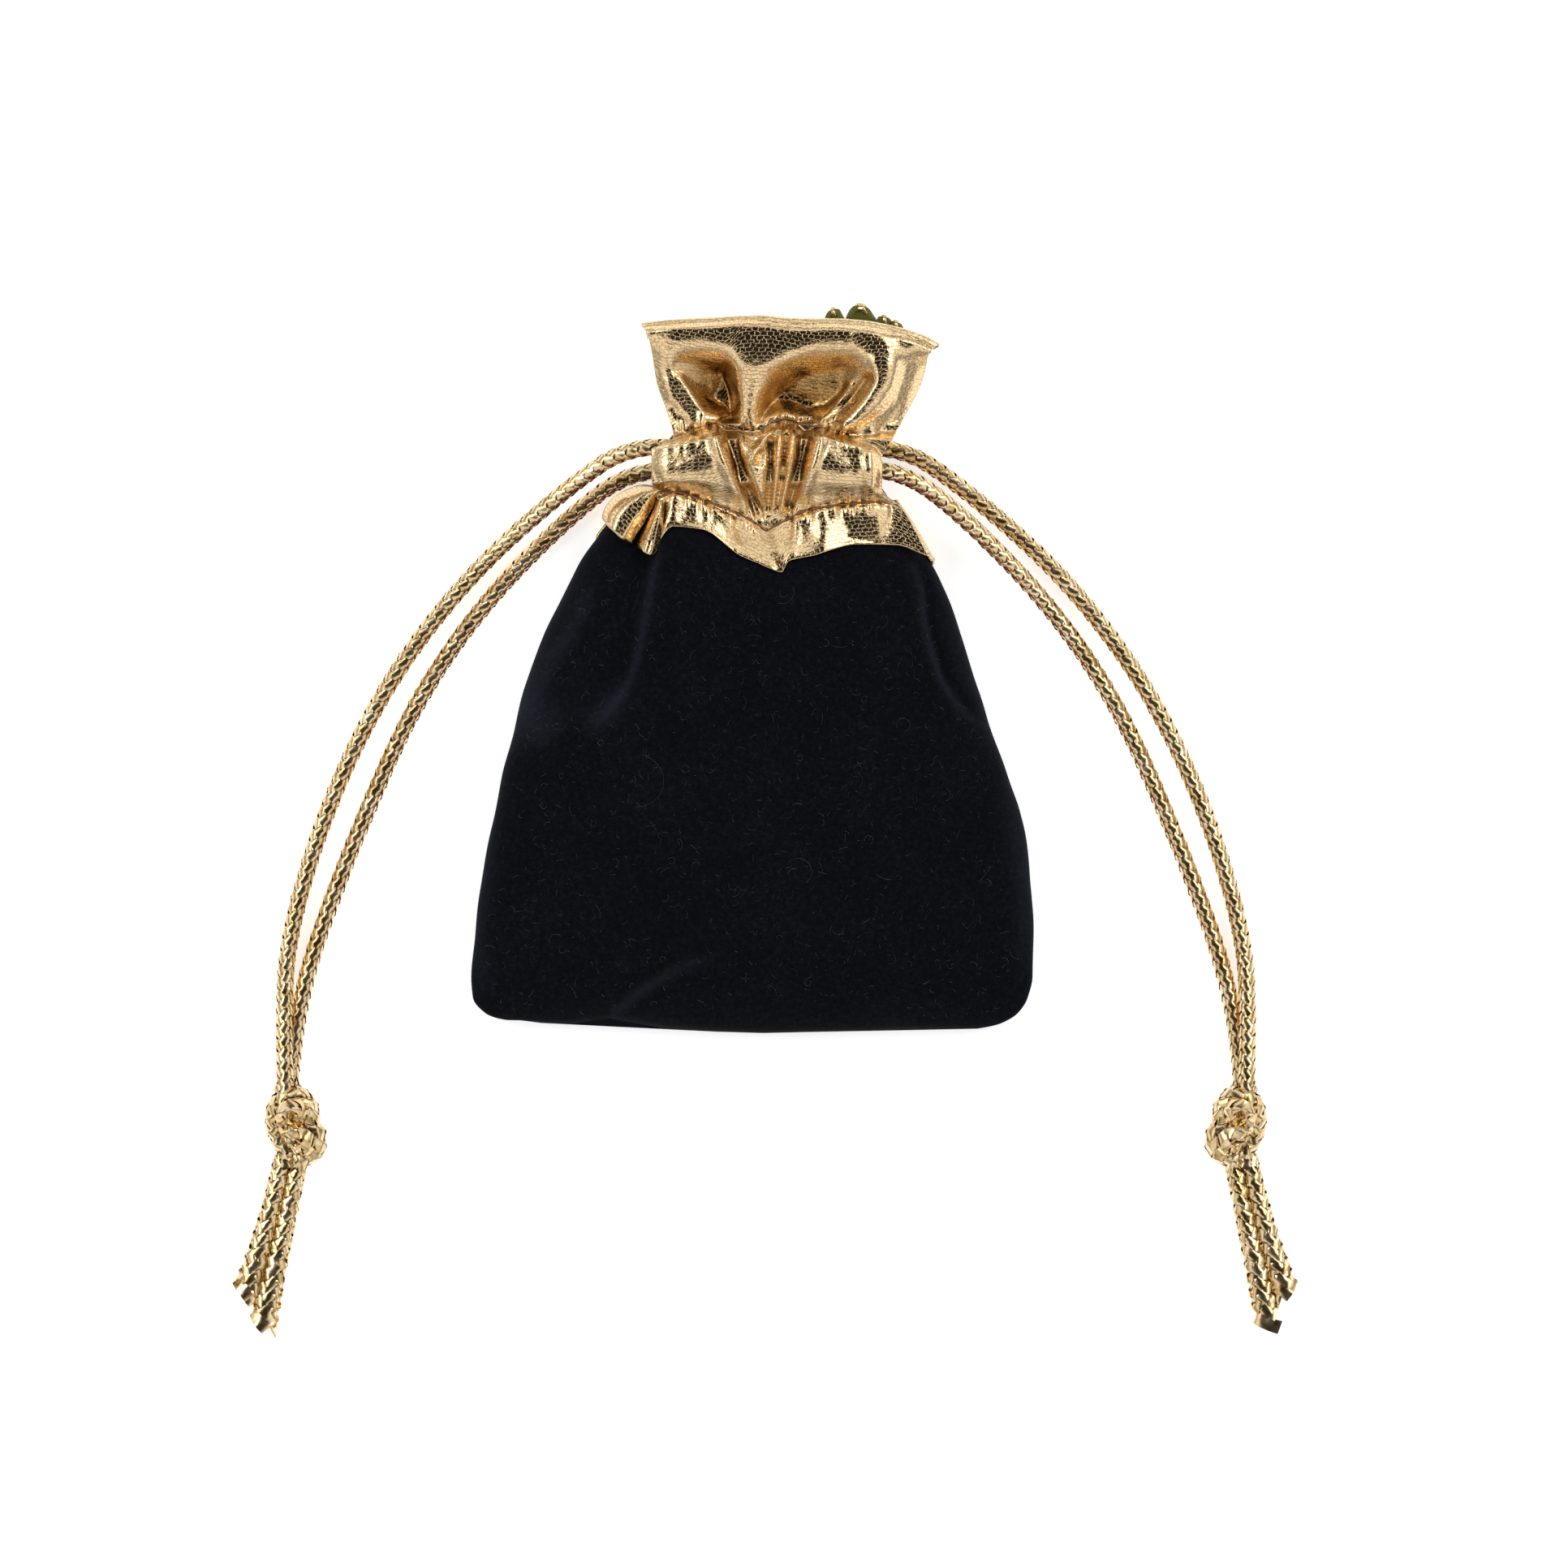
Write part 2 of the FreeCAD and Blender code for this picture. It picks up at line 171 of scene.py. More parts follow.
def olive_lining():
    material, tree, shader = new_material("olive_lining", Roughness=0.75, Sheen_Weight=0.2)
    knit = add_node(
        tree, "ShaderNodeTexBrick",
        {"Vector": uv_place(tree, "cloth"), "Scale": 1.0, "Mortar Size": 0.08, "Brick Width": 0.4,
         "Row Height": 0.4, "Color1": (0.24, 0.25, 0.030, 1), "Color2": (0.21, 0.22, 0.024, 1),
         "Mortar": (0.13, 0.14, 0.015, 1)},
    )
    tree.links.new(knit.outputs["Color"], shader.inputs["Base Color"])
    bump(tree, shader, knit.outputs["Fac"], 0.4, 0.0001)
    return material


def black_velvet():
    """Near-black pile with a faint blue sheen, and painted sheen that lightens its colour along the folds'
    edges and in some patches.
    """
    material, tree, shader = new_material(
        "black_velvet", Roughness=0.95, Sheen_Weight=0.07, Sheen_Roughness=0.35,
        Sheen_Tint=(0.42, 0.52, 0.80, 1.0), Specular_IOR_Level=0.08,
    )
    place = object_place(tree)
    brushed = noise_tone(tree, place, 110.0, 3.0)
    clumps = noise_tone(tree, place, 1500.0, 3.0)
    pile = noise_tone(tree, place, 5200.0)
    fine = maths(tree, "ADD", maths(tree, "MULTIPLY", clumps, 0.45), maths(tree, "MULTIPLY", pile, 0.40))
    tone = maths(tree, "ADD", fine, maths(tree, "MULTIPLY", brushed, 0.15))
    colour = ramp(tree, tone, [
        (0.38, (0.0016, 0.0019, 0.0032, 1)), (0.52, (0.0036, 0.0041, 0.0066, 1)),
        (0.66, (0.0085, 0.0098, 0.0140, 1)),
    ])
    # Painted sheen: a lighter blue-black along the folds' edges and in some patches, broken up by the clumps
    painted_sheen_share = maths(tree, "MULTIPLY", uv_amount(tree, "pushed_pile"), maths(tree, "ADD", clumps, 0.45))
    sheen_lightened_colour = mixed_colour(tree, painted_sheen_share, colour, (0.021, 0.026, 0.037, 1))
    tree.links.new(sheen_lightened_colour, shader.inputs["Base Color"])
    bump(tree, shader, pile, 0.6, 0.00025)
    return material


def film_gold():
    """Glossy flat film strips of the braid."""
    material, tree, shader = new_material("film_gold", Metallic=1.0)
    place = object_place(tree)
    patches = noise_tone(tree, place, 700.0, 3.0)
    colour = ramp(tree, patches, [
        (0.3, (0.60, 0.40, 0.17, 1)), (0.55, (0.86, 0.65, 0.36, 1)), (0.75, (0.97, 0.80, 0.54, 1)),
    ])
    tree.links.new(colour, shader.inputs["Base Color"])
    tree.links.new(scaled(tree, patches, 0.20, 0.13), shader.inputs["Roughness"])
    bump(tree, shader, noise_tone(tree, place, 2600.0, Distortion=0.6), 0.12, 0.00008)
    return material


def fibre(name, roughness, sheen, scale, detail, stops, relief=0.0):
    """A matt fibre, mottled between two colours."""
    material, tree, shader = new_material(name, Roughness=roughness, Sheen_Weight=sheen)
    tone = noise_tone(tree, object_place(tree), scale, detail)
    tree.links.new(ramp(tree, tone, stops), shader.inputs["Base Color"])
    if relief:
        bump(tree, shader, tone, relief, 0.0002)
    return material


GOLD = gold_foil_knit()
OLIVE = olive_lining()
VELVET = black_velvet()
FILM = film_gold()
RED = fibre("red_core", 0.7, 0.2, 2500.0, 3.0,
            [(0.35, (0.22, 0.015, 0.010, 1)), (0.65, (0.55, 0.06, 0.035, 1))], 0.5)
THREAD = fibre("brown_thread", 0.6, 0.15, 3000.0, 2.0,
               [(0.3, (0.16, 0.07, 0.025, 1)), (0.7, (0.36, 0.19, 0.08, 1))], 0.6)
LINT = fibre("lint_fibre", 0.8, 0.3, 300.0, 2.0,
             [(0.35, (0.008, 0.010, 0.014, 1)), (0.7, (0.032, 0.040, 0.050, 1))])


# ---------------------------------------------------------------- mesh helpers, in mm

def make_object(name, points, faces, materials, layers=None, face_material=None):
    """A mesh object from points in mm. layers holds its UV maps: a pair of values for each point."""
    mesh = bpy.data.meshes.new(name)
    mesh.from_pydata([tuple(float(c) * MM for c in p) for p in points], [], faces)
    mesh.polygons.foreach_set("use_smooth", [True] * len(faces))
    for material in materials:
        mesh.materials.append(material)
    if face_material is not None:
        mesh.polygons.foreach_set("material_index", face_material)
    corners = np.zeros(len(mesh.loops), int)
    mesh.loops.foreach_get("vertex_index", corners)
    for layer_name, values in (layers or {}).items():
        layer = mesh.uv_layers.new(name=layer_name)
        layer.data.foreach_set("uv", np.asarray(values, float)[corners].ravel())
    mesh.update()
    piece = bpy.data.objects.new(name, mesh)
    bpy.context.scene.collection.objects.link(piece)
    return piece


def attach(piece, body, slot, *nodes):
    """The body that a piece rides on, its material slot, which is not used, and the CAD nodes that it
    replaces.
    """
    if body:
        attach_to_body(piece, body)
    if nodes:
        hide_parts(*nodes)
    return piece


def thicken(piece, thickness, lined=True):
    shell = piece.modifiers.new("cloth", "SOLIDIFY")
    shell.thickness = thickness * MM
    shell.offset = -1.0
    if lined:
        shell.material_offset = 1
        shell.material_offset_rim = 0


def grid_faces(columns, rows, wrap=False, base=0):
    """Quads of a grid whose point (i, j) has index base + i * rows + j."""
    faces = []
    for i in range(columns if wrap else columns - 1):
        here = base + i * rows
        after = base + (i + 1) % columns * rows
        faces += [(here + j, after + j, after + j + 1, here + j + 1) for j in range(rows - 1)]
    return faces


def ring_faces(rings, count, base=0, capped=True):
    """Quads round a tube whose ring k starts at base + k * count, and its two ends."""
    faces = []
    for k in range(rings - 1):
        for m in range(count):
            a = base + k * count + m
            b = base + k * count + (m + 1) % count
            faces.append((a, b, b + count, a + count))
    if capped:
        faces.append(tuple(range(base, base + count))[::-1])
        faces.append(tuple(range(base + (rings - 1) * count, base + rings * count)))
    return faces


def flipped(faces):
    return [face[::-1] for face in faces]


def run_lengths(line):
    """Distance along a line at each of its points."""
    return np.concatenate([[0], np.cumsum(np.linalg.norm(np.diff(line, axis=0), axis=1))])


def resampled(line, lengths, marks):
    return np.stack([np.interp(marks, lengths, line[:, k]) for k in range(3)], axis=1)


def path_distance(x, y, path):
    """Distance to an open path, the same with a sign that is positive on its left, and how far
    along the path the nearest place is, 0 to 1."""
    path = np.array(path, float)
    best = np.full(x.shape, 1e9)
    signed = np.zeros(x.shape)
    along = np.zeros(x.shape)
    total = len(path) - 1
    for k in range(total):
        start = path[k]
        run = path[k + 1] - start
        t = np.clip(((x - start[0]) * run[0] + (y - start[1]) * run[1]) / (run @ run), 0, 1)
        dx, dy = x - start[0] - t * run[0], y - start[1] - t * run[1]
        reach = np.hypot(dx, dy)
        closer = reach < best
        best = np.where(closer, reach, best)
        signed = np.where(closer, np.sign(run[0] * dy - run[1] * dx) * reach, signed)
        along = np.where(closer, (k + t) / total, along)
    return best, signed, along


def smooth_through(places, values, at):
    """Monotone cubic through the given values, so that folds don't overshoot."""
    places = np.asarray(places, float)
    values = np.asarray(values, float)
    gaps = np.diff(places)
    slopes = np.diff(values, axis=0) / gaps.reshape((-1,) + (1,) * (values.ndim - 1))
    tangents = np.zeros_like(values)
    tangents[0], tangents[-1] = slopes[0], slopes[-1]
    product = slopes[:-1] * slopes[1:]
    total = slopes[:-1] + slopes[1:]
    safe = np.where(np.abs(total) < 1e-9, 1.0, total)
    tangents[1:-1] = np.where(product > 0, 2 * product / safe, 0.0)
    at = np.clip(np.asarray(at, float), places[0], places[-1])
    spot = np.clip(np.searchsorted(places, at, side="right") - 1, 0, len(gaps) - 1)
    t = ((at - places[spot]) / gaps[spot]).reshape((-1,) + (1,) * (values.ndim - 1))
    h = gaps[spot].reshape((-1,) + (1,) * (values.ndim - 1))
    p0, p1, m0, m1 = values[spot], values[spot + 1], tangents[spot], tangents[spot + 1]
    return (
        (2 * t**3 - 3 * t**2 + 1) * p0 + (t**3 - 2 * t**2 + t) * h * m0
        + (-2 * t**3 + 3 * t**2) * p1 + (t**3 - t**2) * h * m1
    )


def ripple(points, size, amount, seed):
    """Small soft lumps, the same each run."""
    out = np.zeros(len(points))
    shift = Vector((seed * 11.3, seed * 5.7, seed * 3.1))
    for k, p in enumerate(points):
        out[k] = noise.noise(Vector(p) / size + shift) * amount
    return out


def nurbs_line(points, step):
    """Evenly spaced points along the NURBS route through the given control points, in mm."""
    curve = bpy.data.curves.new("route", "CURVE")
    curve.dimensions = "3D"
    curve.resolution_u = 24
    spline = curve.splines.new("NURBS")
    spline.points.add(len(points) - 1)
    for knot, p in zip(spline.points, points):
        knot.co = (p[0], p[1], p[2], 1.0)
    spline.order_u = 3
    spline.use_endpoint_u = True
    holder = bpy.data.objects.new("route", curve)
    bpy.context.scene.collection.objects.link(holder)
    bpy.context.view_layer.update()
    mesh = bpy.data.meshes.new_from_object(holder)
    raw = np.array([tuple(v.co) for v in mesh.vertices])
    bpy.data.objects.remove(holder)
    bpy.data.meshes.remove(mesh)
    lengths = run_lengths(raw)
    marks = np.linspace(0, lengths[-1], max(int(lengths[-1] / step), 8) + 1)
    return resampled(raw, lengths, marks), marks


def unit(v):
    return v / np.maximum(np.linalg.norm(v, axis=-1, keepdims=True), 1e-9)


def carried_frames(line, start_up):
    """Side and up directions carried along a line with as little twist as possible."""
    tangents = unit(np.gradient(line, axis=0))
    ups = np.zeros_like(line)
    up = np.array(start_up, float)
    for k, t in enumerate(tangents):
        up = up - t * np.dot(up, t)
        up = up / np.linalg.norm(up)
        ups[k] = up
    return tangents, np.cross(tangents, ups), ups


# ---------------------------------------------------------------- camera

VIEW_WIDTH = 0.2125
CAMERA_HEIGHT = 2.4
SENSOR_MM = 36
VIEW_CENTRE = (0.00435, -0.01507)
camera_data = bpy.data.cameras.new("camera")
camera_data.lens = SENSOR_MM * CAMERA_HEIGHT / VIEW_WIDTH
camera_data.sensor_width = SENSOR_MM
camera = bpy.data.objects.new("camera", camera_data)
camera.location = (*VIEW_CENTRE, CAMERA_HEIGHT)
bpy.context.scene.collection.objects.link(camera)
bpy.context.scene.camera = camera


# ---------------------------------------------------------------- braided cords

CORD_D = 2.2
CARRIERS = 4
BRAID_LEAD = 6.8
BRAID_STEP = BRAID_LEAD / 32
STRIP_WIDTH = 1.16
# The strips lie flat where they cross, so the braid has this many flat sides
BRAID_SIDES = 8
FLATNESS = 0.80
STRIP_DEPTH = 0.08
# How far a strip's edges bend down, and the braid's size against a plain tube's, at the middle of
# its flat sides and half way between over and under
STRIP_SAG = 0.04
FULLNESS = 1.03
# How high a strip rises over the others, and how abruptly: 1 is a plain wave, 0 a sudden step
WEAVE_HEIGHT = 0.085
WEAVE_SOFTNESS = 0.55
# The share of a tail's length where its strips start to come apart
SPLAY_FROM = 0.86
# Places across a strip, from edge to edge
ACROSS = (-1.0, -0.5, 0.0, 0.5, 1.0)
MIRROR_X = 1.9
TABLE_Z = CORD_D / 2 + 0.02
FRONT_Z = 10.45
BACK_Z = 1.95
LOOP_TURN_X = 11.2
LOOP_START_X = -11.0
OUTER_LEG_Y = 30.0
INNER_LEG_Y = 27.0

# The routes follow the CAD tubes, in mm, but leave the channels a little nearer to the ruffle.
# Heights come after them: from the front or the back channel, and at the knot.
OUTER_ROUTE = [
    (-11.0, 30.3), (-16.3, 30.8), (-25.2, 24.8), (-38.4, 13.2), (-49.4, -1.2),
    (-57.5, -17.8), (-62.9, -35.6), (-63.4, -47.6), (-63.1, -56.6),
]
INNER_ROUTE = [
    (-11.0, 27.3), (-16.2, 27.6), (-25.2, 20.8), (-36.8, 8.9), (-45.7, -4.2),
    (-52.6, -19.6), (-59.0, -36.2), (-61.9, -47.4), (-62.6, -56.2),
]
FROM_FRONT = [FRONT_Z, FRONT_Z, 6.0, 1.35, TABLE_Z, TABLE_Z]
FROM_BACK = [BACK_Z, BACK_Z, 1.35, TABLE_Z, TABLE_Z, TABLE_Z]
OVER_END = [1.4, 3.2, 3.5]
UNDER_END = [TABLE_Z, TABLE_Z, 1.3]


def woven(s, lead, direction):
    """How far a strip rises over the others, or dips below them, at a place along the cord."""
    wave = math.cos(2 * CARRIERS * math.pi * s / lead)
    return direction * math.copysign(abs(wave) ** WEAVE_SOFTNESS, wave) * WEAVE_HEIGHT


def braid_points(line, marks, frames, half_width, half_height, lead, width, open_side=None, open_by=0.0,
                 fray=0.0, wander=0.08):
    """Flat strips woven over and under each other round a line. Half sizes are arrays along it.
    fray is the share of the length by which the strips' ends differ."""
    tangents, sides, ups = frames
    points, faces = [], []
    side_angle = 2 * math.pi / BRAID_SIDES
    first_turn = rng.uniform(0, 2 * math.pi)
    for direction in (1, -1):
        turn = direction * 2 * math.pi / lead
        for carrier in range(CARRIERS):
            start = 2 * math.pi * carrier / CARRIERS
            last, splay = len(line), 0.0
            if fray:
                last = int(len(line) * (1 - fray * rng.random()))
                splay = rng.uniform(0.1, 0.9)
            faces += grid_faces(last, len(ACROSS), base=len(points))
            for k in range(last):
                s = marks[k]
                angle = start + turn * s
                weave = woven(s, lead, direction)
                grow = 1 + max(0.0, (k / len(line) - SPLAY_FROM) / 0.14) * splay * 0.35
                # The strips lie on a few flat sides, which wander a little round the cord
                turned = angle + wander * math.sin(0.42 * s + first_turn)
                off_side = (turned + side_angle / 2) % side_angle - side_angle / 2
                facing = angle - FLATNESS * off_side
                corner = FULLNESS * (math.cos(facing - angle) / math.cos(off_side)) ** 0.5
                hw = (half_width[k] - STRIP_DEPTH + weave) * grow * corner
                hh = (half_height[k] - STRIP_DEPTH + weave) * corner
                c, sn = math.cos(angle), math.sin(angle)
                centre = line[k] + sides[k] * (c * hw) + ups[k] * (sn * hh)
                outward = unit(sides[k] * (math.cos(facing) / half_width[k])
                               + ups[k] * (math.sin(facing) / half_height[k]))
                along = unit(tangents[k] + (sides[k] * (-sn * hw) + ups[k] * (c * hh)) * turn)
                cross = np.cross(along, outward)
                size = width * (half_width[k] / 1.1)
                if open_side is not None:
                    near = max(0.0, math.cos(angle - open_side))
                    size *= 1 - open_by * (1 - 0.65 * s / marks[-1]) * near**4
                points += [centre + cross * (share * size / 2) - outward * (STRIP_SAG * share**4)
                           for share in ACROSS]
    return points, faces


def core_points(line, frames, radius_side, radius_up, count=12):
    """A closed tube of the core yarn."""
    _, sides, ups = frames
    points = []
    for k in range(len(line)):
        for a in np.arange(count) * (2 * math.pi / count):
            level = sides[k] * math.cos(a) * radius_side[k]
            rise = ups[k] * math.sin(a) * radius_up[k]
            points.append(line[k] + level + rise)
    return points, ring_faces(len(line), count)


def braided_piece(name, lines, side_name, node, core_share=1.0):
    """One piece of one or more braided lengths, each with its red core, mirrored on the right."""
    points, faces, kinds = [], [], []
    for line, marks, frames, hw, hh, options in lines:
        strip_points, strip_faces = braid_points(line, marks, frames, hw, hh, **options)
        thin = slice(None, int(len(line) * core_share), 3)
        thin_frames = tuple(f[thin] for f in frames)
        core, core_faces = core_points(line[thin], thin_frames, hw[thin] * 0.84, hh[thin] * 0.80)
        for new_points, new_faces, kind in ((strip_points, strip_faces, 0), (core, core_faces, 1)):
            base = len(points)
            points += list(new_points)
            faces += [tuple(base + i for i in f) for f in new_faces]
            kinds += [kind] * len(new_faces)
    points = np.array(points)
    if side_name == "right":
        points[:, 0] = 2 * MIRROR_X - points[:, 0]
        faces = flipped(faces)
    piece = make_object(name, points, faces, [FILM, RED], face_material=kinds)
    return attach(piece, side_name + "_drawcord", "gold_braid", node)


def flat_sides(line):
    """Frames that keep a cord's side level, for a cord that lies on the table."""
    tangents = unit(np.gradient(line, axis=0))
    sides = unit(np.cross(tangents, UP))
    return tangents, sides, np.cross(sides, tangents)


def strand(side_name, which, route, heights, open_by):
    line, marks = nurbs_line([(x, y, z) for (x, y), z in zip(route, heights)], BRAID_STEP)
    half = np.full(len(line), CORD_D / 2)
    # The braid opens a little on the inner side of the bend, most next to the bag, and shows its core
    options = dict(lead=BRAID_LEAD, width=STRIP_WIDTH, open_side=math.radians(150), open_by=open_by)
    name = "%s_%s" % (side_name, which)
    lengths = [(line, marks, flat_sides(line), half, half, options)]
    piece = braided_piece(name + "_braid", lengths, side_name, name + "_strand")
    path = line.copy()
    if side_name == "right":
        path[:, 0] = 2 * MIRROR_X - path[:, 0]
    return piece, path * MM, marks[-1] * MM


# Centre of the pair of strands through the overhand knot, and where the first one lies beside it
KNOT_ROUTE = [
    ((-62.9, -55.6, 2.4), (-0.25, 0.0, 1.0)),
    ((-62.7, -57.6, 2.1), (-0.6, 0.0, 0.8)),
    ((-62.4, -59.6, 1.8), (-0.9, 0.0, 0.3)),
    ((-61.9, -61.2, 3.0), (-0.8, -0.5, 0.4)),
    ((-60.4, -61.7, 4.5), (-0.2, -0.9, 0.45)),
    ((-59.4, -62.9, 4.1), (-0.8, -0.4, 0.5)),
    ((-59.6, -64.8, 2.9), (-0.7, 0.3, 0.6)),
    ((-61.2, -65.2, 1.9), (0.2, 0.9, 0.5)),
    ((-63.2, -63.4, 1.6), (0.8, 0.5, 0.3)),
    ((-64.1, -61.0, 2.6), (0.8, 0.1, 0.5)),
    ((-63.9, -58.8, 3.9), (0.7, -0.3, 0.6)),
    ((-62.4, -57.5, 4.6), (0.1, -0.8, 0.6)),
    ((-60.8, -58.2, 4.3), (-0.6, -0.5, 0.6)),
    ((-60.3, -60.1, 3.3), (-0.9, -0.1, 0.3)),
    ((-60.9, -62.6, 2.1), (-0.9, 0.1, 0.1)),
    ((-61.9, -64.9, 1.3), (-1.0, 0.2, 0.0)),
    ((-62.6, -67.0, 1.2), (-1.0, 0.2, 0.0)),
]
# How far each strand lies from the pair's centre, its lowest place and its half width when pressed
KNOT_SPREAD = 0.95
KNOT_LOWEST = 1.02
KNOT_HALF_WIDTH = 1.28
# Each tail's start, middle and end, seen from above
TAILS = {
    "outer": ((-63.55, -65.6), (-65.3, -74.5), (-69.0, -85.4)),
    "inner": ((-61.35, -66.0), (-63.3, -75.5), (-66.6, -89.4)),
}


def knot(side_name):
    lengths = []
    for sign in (1, -1):
        control = [np.array(centre) + unit(np.array(beside)) * (sign * KNOT_SPREAD)
                   for centre, beside in KNOT_ROUTE]
        line, marks = nurbs_line(control, BRAID_STEP)
        line[:, 2] = np.maximum(line[:, 2], KNOT_LOWEST)
        half = np.full(len(line), KNOT_HALF_WIDTH)
        lengths.append((line, marks, carried_frames(line, UP), half, half * 0.80, dict(lead=7.4, width=1.22)))
    return braided_piece(side_name + "_knot_wraps", lengths, side_name, side_name + "_knot")


def tail(side_name, which):
    """A frayed end: it widens and flattens as its strips come apart."""
    start, middle, end = TAILS[which]
    line, marks = nurbs_line([(*start, 1.15), (*middle, 1.1), (*end, 0.85)], BRAID_STEP)
    share = marks / marks[-1]
    half_width = 1.12 + 0.28 * share + 0.40 * share**4
    half_height = 1.05 - 0.20 * share - 0.15 * share**3
    line[:, 2] = half_height + 0.03
    options = dict(lead=7.6, width=STRIP_WIDTH, fray=0.17, wander=0.40)
    name = "%s_%s_tail" % (side_name, which)
    lengths = [(line, marks, flat_sides(line), half_width, half_height, options)]
    return braided_piece(name + "_braid", lengths, side_name, name, core_share=0.80)


def held_loop(side_name, front_y, back_y):
    """The cord inside the channels: out along the front, round, and back behind."""
    half_rise = (FRONT_Z - BACK_Z) / 2
    half_run = (front_y - back_y) / 2
    reach = math.hypot(half_rise, half_run)
    line = [(x, front_y, FRONT_Z) for x in np.linspace(LOOP_START_X, LOOP_TURN_X, 46)]
    for a in np.linspace(0, math.pi, 30)[1:-1]:
        out = math.cos(a)
        line.append((LOOP_TURN_X + reach * math.sin(a), (front_y + back_y) / 2 + half_run * out,
                     (FRONT_Z + BACK_Z) / 2 + half_rise * out))
    line += [(x, back_y, BACK_Z) for x in np.linspace(LOOP_TURN_X, LOOP_START_X, 46)]
    line = np.array(line)
    half = np.full(len(line), CORD_D / 2)
    options = dict(lead=BRAID_LEAD, width=STRIP_WIDTH)
    lengths = [(line, run_lengths(line), carried_frames(line, UP), half, half, options)]
    braided_piece(side_name + "_loop_braid", lengths, side_name, side_name + "_cord_loop")


def make_cords():
    held_loop("left", OUTER_LEG_Y, INNER_LEG_Y)
    held_loop("right", INNER_LEG_Y, OUTER_LEG_Y)
    for side_name in ("left", "right"):
        on_knot = [knot(side_name), tail(side_name, "outer"), tail(side_name, "inner")]
        starts = (FROM_FRONT, FROM_BACK) if side_name == "left" else (FROM_BACK, FROM_FRONT)
        outer = strand(side_name, "outer", OUTER_ROUTE, starts[0] + OVER_END, 0.75)
        inner = strand(side_name, "inner", INNER_ROUTE, starts[1] + UNDER_END, 0.95)


make_cords()


# ---------------------------------------------------------------- velvet pouch

SEAM_Z = 2.6
PUFFINESS = 2.5
# y, left edge, right edge, floor height, crown height
POUCH = np.array([
    (23.4, -16.2, 19.2, 1.20, 8.6),
    (20.0, -19.6, 21.4, 1.10, 9.5),
    (16.0, -22.6, 23.6, 1.00, 11.6),
    (13.2, -24.1, 25.2, 0.60, 12.4),
    (9.6, -26.0, 26.8, 0.25, 12.8),
    (5.1, -28.1, 28.4, 0.05, 13.0),
    (-2.3, -30.8, 30.6, 0.05, 13.0),
    (-8.4, -32.3, 32.6, 0.05, 12.6),
    (-14.0, -33.9, 34.7, 0.05, 12.0),
    (-18.8, -34.8, 36.3, 0.05, 11.4),
    (-27.6, -36.5, 37.7, 0.05, 9.9),
    (-36.4, -37.6, 38.1, 0.05, 8.6),
    (-41.0, -38.1, 38.0, 0.05, 8.0),
    (-44.0, -37.8, 37.3, 0.05, 7.6),
    (-46.2, -36.1, 35.9, 0.05, 7.3),
    (-47.5, -33.2, 33.6, 0.05, 7.1),
    (-48.0, -28.5, 30.5, 0.05, 7.0),
])
# How far the bottom edge waves from straight: x, offset
BOTTOM_WAVE = np.array([
    (-38.0, 0.0), (-31.5, 0.7), (-24.9, 0.4), (-19.4, 1.2), (-15.5, 0.5), (-11.7, -0.2),
    (-5.0, -0.6), (1.5, -0.8), (9.0, -0.6), (16.3, -0.5), (20.0, -0.3), (31.7, -0.2), (38.0, 0.3),
])
BOTTOM_Y = -48.0
BOTTOM_ROUND = 13.0


def pouch_rows(y):
    order = POUCH[::-1]
    return [smooth_through(order[:, 0], order[:, k], y) for k in range(1, 5)]


def end_round(y):
    """The pouch closes towards its bottom seam like the edge of a pillow."""
    gap = np.clip((np.asarray(y) - BOTTOM_Y) / BOTTOM_ROUND, 0, 1)
    return (1 - (1 - gap) ** PUFFINESS) ** (1 / PUFFINESS)


def bottom_shift(x, y):
    near = np.clip(1 - (y - BOTTOM_Y) / 9.0, 0, 1)
    return np.interp(x, BOTTOM_WAVE[:, 0], BOTTOM_WAVE[:, 1]) * near**1.5


def bump_along(x, y, path, width, height, shift=(0, 0)):
    """Height of a soft ridge or groove along an open path, fading at both ends."""
    reach, _, along = path_distance(x, y, np.array(path) + shift)
    ends = np.sin(np.pi * np.clip(along * 0.9 + 0.1, 0, 1)) ** 0.6
    return height * ends * np.exp(-((reach / width) ** 2))


def step_along(x, y, path, width, height):
    """Height of a folded edge: raised on the left of the path, fading towards its far end."""
    reach, signed, along = path_distance(x, y, path)
    shape = 1 / (1 + np.exp(-signed / width))
    near = np.exp(-((reach / (width * 16)) ** 2))
    return height * (1 - along**1.5) * near * (shape - 0.5) * 2


FOLD_LEFT = [(-12.9, 19.0), (-13.3, 15.1), (-14.0, 12.2), (-14.7, 8.1), (-15.5, 3.9), (-16.7, -0.7),
             (-18.6, -3.7), (-21.7, -7.4)]
RIDGE_LEFT = [(-22.0, 10.5), (-23.8, 6.3), (-27.0, 1.5), (-29.1, -2.8), (-30.7, -7.8)]
FOLD_RIGHT = [(22.4, 14.6), (23.5, 11.2), (23.9, 6.5), (25.1, 2.0), (25.9, -0.7), (27.6, -3.3),
              (29.4, -5.5), (32.6, -7.8)]
CREASE_BOTTOM = [(-20.2, -48.0), (-19.0, -45.6), (-15.5, -42.6), (-10.6, -39.7), (-6.5, -38.2)]
